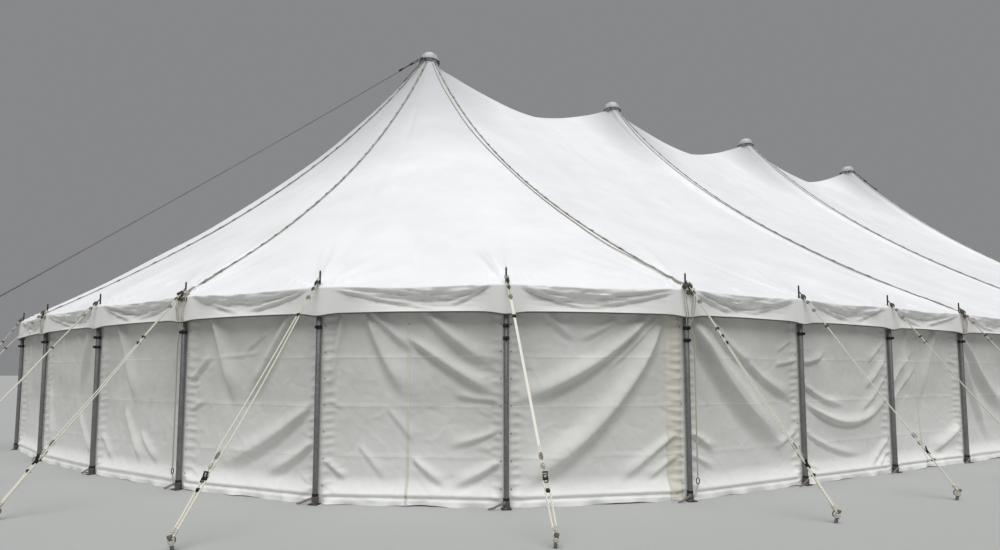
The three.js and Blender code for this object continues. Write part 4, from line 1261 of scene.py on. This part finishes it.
# The folds of each bay that the photograph shows, listed one by one. Each has its start and its end as shares
# of the bay's width and the wall's height, then its sag, breadth and rise in metres.
BAY_FOLDS = {
    35: [(0.2, 0.95, 0.25, 0.1, 0.0, 0.04, 0.016), (0.5, 0.95, 0.45, 0.15, 0.0, 0.035, 0.014),
         (0.8, 0.95, 0.78, 0.1, 0.0, 0.04, 0.016)],
    36: [(0.18, 0.95, 0.15, 0.2, 0.0, 0.035, 0.018), (0.42, 0.95, 0.36, 0.3, 0.0, 0.03, 0.014),
         (0.6, 0.95, 0.64, 0.1, 0.0, 0.04, 0.018), (0.86, 0.95, 0.82, 0.3, 0.0, 0.03, 0.014)],
    37: [(0.83, 0.97, 0.68, 0.46, -0.02, 0.045, 0.032), (0.05, 0.55, 0.18, 0.1, 0.02, 0.035, 0.022),
         (0.66, 0.38, 0.92, 0.08, 0.04, 0.035, 0.024), (0.3, 0.93, 0.27, 0.5, 0.0, 0.035, 0.014),
         (0.55, 0.93, 0.6, 0.76, 0.0, 0.022, 0.012), (0.05, 0.27, 0.2, 0.09, 0.0, 0.025, 0.014)],
    38: [(0.19, 0.97, 0.46, 0.4, 0.0, 0.045, 0.036), (0.3, 0.42, 0.56, 0.08, 0.02, 0.035, 0.026),
         (0.5, 0.28, 0.74, 0.11, 0.02, 0.032, 0.020), (0.03, 0.26, 0.2, 0.08, 0.0, 0.03, 0.018),
         (0.97, 0.9, 0.84, 0.6, 0.0, 0.04, 0.014), (0.66, 0.62, 0.6, 0.4, 0.0, 0.03, 0.010)],
    39: [(0.19, 0.97, 0.41, 0.42, 0.02, 0.06, 0.046), (0.84, 0.97, 0.43, 0.42, 0.02, 0.05, 0.040),
         (0.97, 0.48, 0.26, 0.14, 0.09, 0.06, 0.032), (0.98, 0.30, 0.6, 0.11, 0.05, 0.045, 0.024),
         (0.02, 0.55, 0.2, 0.72, 0.0, 0.028, 0.016), (0.02, 0.40, 0.15, 0.47, 0.0, 0.02, 0.011),
         (0.62, 0.82, 0.42, 0.7, 0.0, 0.02, 0.011), (0.28, 0.69, 0.6, 0.715, 0.01, 0.018, 0.008)],
    40: [(0.46, 0.79, 1.0, 0.49, 0.03, 0.048, 0.036), (0.24, 0.94, 0.54, 0.7, 0.03, 0.034, 0.026),
         (0.52, 0.96, 1.0, 0.62, 0.09, 0.055, 0.040), (0.24, 0.92, 0.5, 0.48, 0.06, 0.055, 0.030),
         (0.99, 0.48, 0.70, 0.52, 0.02, 0.028, 0.014), (0.99, 0.22, 0.7, 0.09, 0.03, 0.035, 0.022),
         (0.98, 0.35, 0.68, 0.27, 0.02, 0.028, 0.014), (0.5, 0.22, 0.7, 0.09, 0.02, 0.03, 0.018),
         (0.02, 0.21, 0.16, 0.11, 0.01, 0.024, 0.018), (0.36, 0.45, 0.54, 0.27, 0.0, 0.028, 0.008),
         (0.12, 0.93, 0.05, 0.5, 0.0, 0.028, 0.018), (0.2, 0.28, 0.38, 0.1, 0.0, 0.026, 0.008)],
    41: [(0.84, 0.92, -0.02, 0.465, 0.16, 0.055, 0.046), (0.87, 0.9, 0.5, 0.6, 0.04, 0.026, 0.016),
         (0.9, 0.91, -0.02, 0.05, 0.28, 0.07, 0.058), (0.96, 0.33, 0.6, 0.09, 0.0, 0.034, 0.022),
         (0.96, 0.22, 0.76, 0.1, 0.0, 0.026, 0.016), (0.19, 0.92, 0.4, 0.76, 0.03, 0.03, 0.020),
         (0.62, 0.87, 0.37, 0.765, 0.03, 0.028, 0.014)],
    0: [(0.03, 0.92, 0.88, 0.2, 0.15, 0.09, 0.066), (0.18, 0.93, 0.66, 0.62, 0.11, 0.045, 0.030),
        (0.5, 0.67, 0.98, 0.47, 0.06, 0.045, 0.024), (0.02, 0.33, 0.24, 0.22, 0.0, 0.028, 0.020),
        (0.02, 0.22, 0.22, 0.14, 0.0, 0.022, 0.013), (0.97, 0.8, 0.79, 0.72, 0.0, 0.02, 0.012),
        (0.98, 0.68, 0.76, 0.66, 0.02, 0.02, 0.012), (0.98, 0.3, 0.72, 0.21, 0.02, 0.03, 0.016)],
    1: [(0.01, 0.67, 0.3, 0.74, 0.06, 0.028, 0.022), (0.99, 0.71, 0.7, 0.51, 0.02, 0.03, 0.026),
        (0.99, 0.81, 0.76, 0.67, 0.0, 0.025, 0.018), (0.01, 0.47, 1.1, 0.54, 0.44, 0.042, 0.031),
        (0.01, 0.3, 0.7, 0.13, 0.1, 0.03, 0.014), (0.01, 0.57, 0.5, 0.42, 0.08, 0.028, 0.018),
        (0.99, 0.6, 0.6, 0.36, 0.04, 0.03, 0.016), (0.99, 0.22, 0.72, 0.06, 0.02, 0.03, 0.020),
        (0.99, 0.14, 0.8, 0.05, 0.0, 0.02, 0.012)],
    2: [(0.01, 0.5, 0.44, 0.78, -0.04, 0.035, 0.026), (0.02, 0.4, 0.46, 0.66, -0.03, 0.03, 0.020),
        (0.72, 0.94, 0.46, 0.4, -0.02, 0.045, 0.032), (0.99, 0.27, 0.52, 0.1, 0.07, 0.05, 0.038),
        (0.3, 0.92, 0.24, 0.6, 0.0, 0.03, 0.018)],
    3: [(0.05, 0.92, 0.82, 0.3, 0.13, 0.07, 0.044), (0.04, 0.86, 0.5, 0.08, 0.08, 0.055, 0.030),
        (0.97, 0.6, 0.6, 0.4, 0.04, 0.04, 0.020)],
}


def bay_folds(bay, width):
    """A bay's folds in metres: listed where the photograph shows it, elsewhere those of a seeded choice
    of shown bay. A few small pulls from the two poles are thrown in."""
    dice = np.random.default_rng(500 + bay)
    shown = bay if bay in BAY_FOLDS else list(BAY_FOLDS)[int(dice.integers(len(BAY_FOLDS)))]
    folds = [(u0 * width, v0 * WALL_TOP, u1 * width, v1 * WALL_TOP, sag, breadth, FOLD_DEPTH * rise)
             for u0, v0, u1, v1, sag, breadth, rise in BAY_FOLDS[shown]]
    for _ in range(SMALL_PULLS):
        side = dice.choice([-1, 1])
        start, height = (0.5 - 0.47 * side) * width, dice.uniform(0.15, 2.0)
        end = start + side * dice.uniform(0.14, 0.34)
        folds.append((start, height, end, height + dice.uniform(-0.14, 0.14), 0.01,
                      dice.uniform(0.012, 0.02), dice.uniform(0.005, 0.010)))
    return folds


def curtain_surface(along, height):
    """The curtain at places along the eave and heights: a plane behind the poles, with folds, creases and hem
    added as it is pushed out or in. Near a pole, where it is tied back, they fade and small puckers stand."""
    along, height = np.broadcast_arrays(np.asarray(along, float), np.asarray(height, float))
    index = np.floor(along + 1e-9).astype(int)
    inside = along - index
    metres = bay_lengths[index % POLE_COUNT]
    relief = np.zeros(along.shape)
    for bay in np.unique(index):
        mine = index == bay
        dice = np.random.default_rng(100 + int(bay) % POLE_COUNT)
        belly = dice.uniform(-0.06, 0.03)
        u, z, width = inside[mine], height[mine], bay_lengths[bay % POLE_COUNT]
        bowl = belly * np.sin(np.pi * u) * np.sin(np.pi * np.clip(z / WALL_TOP, 0, 1)) ** 0.7
        relief[mine] = bowl + fold_relief(u * width, z, bay_folds(int(bay) % POLE_COUNT, width))
    x = along * SIDE_BAY
    relief = relief + crumples(x, height, 7, 0.55, 0.007, 3) + crumples(x, height, 8, 0.25, 0.0045, 8)
    relief = relief + ripples(x, height, [(0.9, 0.003), (0.53, 0.002)], 21)
    beside = np.minimum(inside, 1 - inside) * metres
    held = np.clip((beside - TIED_BESIDE) / TIED_EASE, 0, 1)
    held = held * held * (3 - 2 * held)
    row = height / PUCKER_PITCH + 0.35 * np.sin(height * 5 + index) + 1.6 * beside * np.cos(index * 2.1)
    pucker = PUCKER_RISE * (1 - np.abs(np.sin(np.pi * row))) ** 1.3
    pucker = pucker * np.exp(-((beside - PUCKER_ASIDE) / PUCKER_BREADTH) ** 2)
    pucker = np.minimum(pucker, 0.002 + 0.26 * np.clip(beside - TIED_BESIDE, 0, None))
    creases = sum(PACKING_RISE * np.exp(-((height - level) / PACKING_BREADTH) ** 2)
                  for level in PACKING_CREASES)
    flare = FLARE_OUT * np.clip((FLARE_TOP - height) / FLARE_REACH, 0, 1) ** 1.4
    flap = np.clip((MUD_FLAP - height) / MUD_FLAP, 0, 1)
    scallop = ripples(x, 0, [(0.61, 0.010), (0.37, 0.007), (0.23, 0.005)], 33) * flap ** 1.5
    groove = -GROOVE_DEPTH * np.exp(-((height - MUD_FLAP + 0.015) / GROOVE_BREADTH) ** 2)
    out = WALL_OUT - 0.006 + held * (WALL_SLACK + relief + creases + flare + scallop + groove) + pucker
    out = np.minimum(out, WALL_OUT + 0.003 + FURTHEST_OUT * held)
    lift = HEM_LIFT * np.clip(ripples(x, 0, [(1.7, 0.6), (0.9, 0.6)], 44), 0, 1) * flap ** 3 * held
    place = eave_line(along, out)
    return np.concatenate([place, (height + lift)[..., None]], axis=-1)


# Wall canvas: heavier, uncoated white canvas, warmer and greyer than the roof. The light shows packing
# creases, faint water marks and grime. It is painted lighter towards the ground, as painted light in place
# of the shade that the eave casts on its upper part. The band along the ground is painted whiter still:
# partly a newer flap, partly painted light on its upturned flare. Its weave is drawn at 10 mm.
wall_canvas = new_material("white_wall_canvas")
surface = add_node(wall_canvas, "ShaderNodeAttribute", attribute_name="lay")
place = add_node(wall_canvas, "ShaderNodeTexCoord")
parts = add_node(wall_canvas, "ShaderNodeSeparateXYZ", {"Vector": place.outputs["Object"]})
marks = add_node(wall_canvas, "ShaderNodeTexNoise", {"Vector": place.outputs["Object"]},
                 socket_Scale=1 / 0.7, socket_Detail=7.0, socket_Roughness=0.62)
tone = add_node(wall_canvas, "ShaderNodeValToRGB", {"Fac": marks.outputs["Fac"]},
                ramp=[(0.3, "#C6C6C0"), (0.7, "#DADAD6")])
# Partly painted light: the band over the upturned flare and the flap is painted whiter, beside a newer flap.
low = add_node(wall_canvas, "ShaderNodeMapRange", {"Value": parts.outputs["Z"]},
               socket_1=MUD_FLAP + 0.16, socket_2=MUD_FLAP + 0.04, socket_3=0.0, socket_4=1.0)
crease_lines = [add_node(wall_canvas, "ShaderNodeMath", {0: parts.outputs["Z"]}, operation="COMPARE",
                         socket_1=level, socket_2=0.004) for level in PACKING_CREASES]
all_lines = crease_lines[0]
for line in crease_lines[1:]:
    all_lines = add_node(wall_canvas, "ShaderNodeMath", {0: all_lines.outputs[0], 1: line.outputs[0]},
                         operation="ADD")
seen = add_node(wall_canvas, "ShaderNodeMapRange", {"Value": marks.outputs["Fac"]},
                socket_1=0.44, socket_2=0.56, socket_3=0.1, socket_4=0.8)
faint = add_node(wall_canvas, "ShaderNodeMath", {0: all_lines.outputs[0], 1: seen.outputs["Result"]},
                 operation="MULTIPLY")
# Painted light: the wall is lighter towards the ground, in place of the eave's shade on its upper part.
painted_light_share = add_node(wall_canvas, "ShaderNodeMapRange", {"Value": parts.outputs["Z"]},
                       socket_1=0.2, socket_2=1.25, socket_3=0.75, socket_4=0.0)
painted_light_low = add_node(wall_canvas, "ShaderNodeMix",
                   {"Factor": painted_light_share.outputs["Result"], "A": tone.outputs["Color"]},
                   data_type="RGBA", socket_7=linear("#EEEEEB"))
lined = add_node(wall_canvas, "ShaderNodeMix", {"Factor": faint.outputs[0], "A": painted_light_low.outputs["Result"]},
                 data_type="RGBA", socket_7=linear("#F1F1EC"))
# The band along the ground: partly a newer flap, partly painted light on its flare.
flap_tone = add_node(wall_canvas, "ShaderNodeMix",
                     {"Factor": low.outputs["Result"], "A": lined.outputs["Result"]},
                     data_type="RGBA", socket_7=linear("#F3F3F0"))
weave = add_node(wall_canvas, "ShaderNodeTexNoise", {"Vector": surface.outputs["Vector"]},
                 socket_Scale=1 / 0.01, socket_Detail=2.0)
rumple = add_node(wall_canvas, "ShaderNodeTexNoise", {"Vector": place.outputs["Object"]},
                  socket_Scale=1 / 0.13, socket_Detail=4.0, socket_Roughness=0.6)
relief_mix = add_node(wall_canvas, "ShaderNodeMix", {"A": weave.outputs["Fac"], "B": rumple.outputs["Fac"]},
                      data_type="FLOAT", socket_0=0.8)
bumps = add_node(wall_canvas, "ShaderNodeBump", {"Height": relief_mix.outputs["Result"]},
                 socket_Strength=0.42, socket_Distance=0.012)
finish_material(wall_canvas, add_node(
    wall_canvas, "ShaderNodeBsdfPrincipled",
    {"Base Color": flap_tone.outputs["Result"], "Normal": bumps.outputs["Normal"]},
    socket_Roughness=0.8, socket_Sheen_Weight=0.1))

for number, (side, count) in enumerate(SETS):
    set_name = f"{side}_{count}"
    columns, rows = FINE_SETS.get(set_name, COARSE_GRID)
    hem_rows = round(HEM_ROWS_SHARE * rows)
    levels = np.concatenate([np.linspace(0, HEM_ZONE, hem_rows)[:-1],
                             np.linspace(HEM_ZONE, WALL_TOP, rows - hem_rows)])
    curtain_along = BAYS_PER_SET * number + np.linspace(0, BAYS_PER_SET, columns)
    grid = curtain_surface(curtain_along[None], levels[:, None])
    curtain = cloth_piece(f"curtain_{set_name}", grid, wall_canvas,
                          f"wall_curtain_{set_name}")
    width, length = line_length(grid[len(levels) // 2]), line_length(grid[:, columns // 3])


# Curtain joins
# Curtains overlap where they meet and are laced through dark metal eyelets, with a cream lap strip over the
# join. More eyelets run down both sides of each pole, where the curtain is tied back to it.
JOINS = (40.48, 41.93, 2.45, 5.5, 8.5, 11.5, 14.5, 17.5, 20.5, 23.5, 26.5, 29.5, 32.5, 35.5)
JOIN_WIDTH = 0.032
WIDE_JOINS = {41.93: 0.17}
EYELET_PITCH = 0.3
EYELET_RADIUS = 0.008
EYELET_ASIDE = 0.058
STRIP_ASIDE = (-1.0, -0.95, -0.5, 0.0, 0.5, 0.95, 1.0)
STRIP_RISE = (-0.001, 0.004, 0.005, 0.006, 0.006, 0.006, -0.001)
STRIP_SWELL = (0, 0.3, 1, 1, 1, 0.3, 0)
STRIP_PULL_PITCH = 0.085
STRIP_FULLNESS = 0.07
JOIN_EYELETS = (0.1, 2.02)

# Cream lap canvas: a newer, softer cloth than the walls, mottled by hand marks a few centimetres wide.
lap_canvas = blotted_material("cream_lap_canvas", 0.09, [(0.0, "#CFCBBE"), (1.0, "#E0DDD1")], 5.0,
                              socket_Roughness=0.8)

eyelet = revolve([(0.005, 0.0), (EYELET_RADIUS, 0.0), (0.005, 0.004)], 6)
upright_eyelet = moved(eyelet, tilt=math.pi / 2)
join_strips, eyelet_places, eyelet_headings = [], [], []
join_heights = np.linspace(0.02, WALL_TOP - 0.02, 160)
lace_heights = np.arange(0.2, 2.1, EYELET_PITCH)
for join in JOINS:
    half_width = WIDE_JOINS.get(join, JOIN_WIDTH) / 2 / bay_lengths[int(join)]
    strip_along = join + half_width * np.array(STRIP_ASIDE)
    strip = curtain_surface(strip_along[None], join_heights[:, None])
    outward = np.append(bay_outward[int(join)], 0)
    pulled = half_width * np.sin(2 * np.pi * (join_heights[:, None] / STRIP_PULL_PITCH + np.arange(7) / 9))
    rise = np.array(STRIP_RISE) + STRIP_FULLNESS * (pulled + half_width) * np.array(STRIP_SWELL)
    strip = strip + outward * rise[..., None]
    join_strips.append(sheet_part(strip))
    spots = curtain_surface(np.full(2, join), np.array(JOIN_EYELETS)) + outward * 0.008
    eyelet_places.append(spots)
    eyelet_headings.append(np.full(len(spots), math.atan2(outward[1], outward[0])))
for pole in range(POLE_COUNT):
    for side in (-1, 1):
        bay = pole if side > 0 else pole - 1
        edge = pole + side * EYELET_ASIDE / bay_lengths[bay % POLE_COUNT]
        spots = curtain_surface(np.full(len(lace_heights), edge), lace_heights)
        outward = np.append(bay_outward[bay % POLE_COUNT], 0)
        eyelet_places.append(spots + outward * 0.002)
        eyelet_headings.append(np.full(len(spots), math.atan2(outward[1], outward[0])))
new_piece("curtain_joins", joined(join_strips), lap_canvas, sheet=True)
eyelets = copies(upright_eyelet, np.concatenate(eyelet_places), np.concatenate(eyelet_headings))
new_piece("curtain_eyelets", eyelets, forged)


# Main guys
# From each end crown two long wire guys run out over the round end to heavy anchor stakes. Each starts with a
# pair of dark fittings at the crown and ends in a bottle screw on the anchor's ring.
MAIN_ANGLES = {"front": math.radians(-30), "back": math.radians(45)}
MAIN_SPREAD = 11.16
MAIN_FOOT = 0.31
MAIN_HEAD = 9.83
MAIN_EYE = 0.3003
MAIN_RADIUS = 0.0105
MAIN_SAG = 0.05
SCREW_LENGTH = 0.45
ANCHOR_RADIUS = 0.024
ANCHOR_HEIGHT = 0.38

# Galvanised wire rope, dulled by weather: a plain grey line whose lay is too fine to show from here.
wire = blotted_material("galvanised_wire_rope", 0.4, [(0.0, "#5F5F5E"), (1.0, "#7E7D7A")],
                        socket_Metallic=0.3, socket_Roughness=0.55)

run = MAIN_SPREAD - MAIN_EYE
main_down = np.array([run, 0, MAIN_FOOT - MAIN_HEAD])
MAIN_LENGTH = float(np.linalg.norm(main_down))
MAIN_TILT = math.atan2(MAIN_HEAD - MAIN_FOOT, run)


def on_main(part):
    """A part that is built along x, laid on the main guy from its head at the crown's eye."""
    return moved(part, tilt=MAIN_TILT, centre=(MAIN_EYE, 0, MAIN_HEAD))


main_t = np.linspace(0.06, 1, 40)
main_path = np.stack([MAIN_LENGTH * main_t - SCREW_LENGTH * (main_t == 1), np.zeros(40),
                      -MAIN_SAG * np.sin(np.pi * main_t)], axis=-1)
main_wire = on_main(loft(main_path, MAIN_RADIUS, circle(8)))
main_links = [link(0.03 + 0.075 * i, i * math.pi / 2, 0.028) for i in range(6)]
main_fitting = loft([(x, 0, 0) for x in (0.46, 0.48, 0.6, 0.62, 1.0, 1.02, 1.14, 1.16)],
                    (0.012, 0.026, 0.026, 0.012, 0.012, 0.026, 0.026, 0.012), circle(10))
screw = loft([(MAIN_LENGTH + x, 0, 0) for x in (-0.5, -0.46, -0.44, -0.2, -0.18, -0.03)],
             (0.012, 0.013, 0.024, 0.024, 0.012, 0.012), circle(10))
anchor = revolve([
    (0, 0), (ANCHOR_RADIUS, 0), (ANCHOR_RADIUS, ANCHOR_HEIGHT - 0.05), (0.033, ANCHOR_HEIGHT - 0.038),
    (0.038, ANCHOR_HEIGHT - 0.02), (0.03, ANCHOR_HEIGHT - 0.003), (0, ANCHOR_HEIGHT),
], 18)
anchor[0][:, 0] += MAIN_SPREAD + STAKE_LEAN * (anchor[0][:, 2] - MAIN_FOOT)
anchor_ring = hoop(0.036, 0.008, 18, 8, 1.2, 0, 0, (MAIN_SPREAD - 0.02, 0, MAIN_FOOT))
eye_collar = revolve([
    (0.012, CROWN_HEIGHT + 0.002), (0.02, CROWN_HEIGHT + 0.004), (0.02, CROWN_HEIGHT + 0.056),
    (0.012, CROWN_HEIGHT + 0.058),
], 12)
main_metal = joined([on_main(joined([*main_links, main_fitting, screw])), anchor, anchor_ring,
                     moved(eye_collar, centre=(MAIN_EYE, 0, 0))])
for end, direction in (("near", -1), ("far", 1)):
    for side, angle in MAIN_ANGLES.items():
        heading = math.atan2(math.sin(angle), direction * math.cos(angle))
        here = [(direction * LAST_KING, 0, 0)]
        line = new_piece(f"main_wire_{end}_{side}", copies(main_wire, here, [heading]), wire)
        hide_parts(f"main_guy_{end}_{side}")
        metal = copies(main_metal, here, [heading])
        new_piece(f"main_fittings_{end}_{side}", metal, forged)
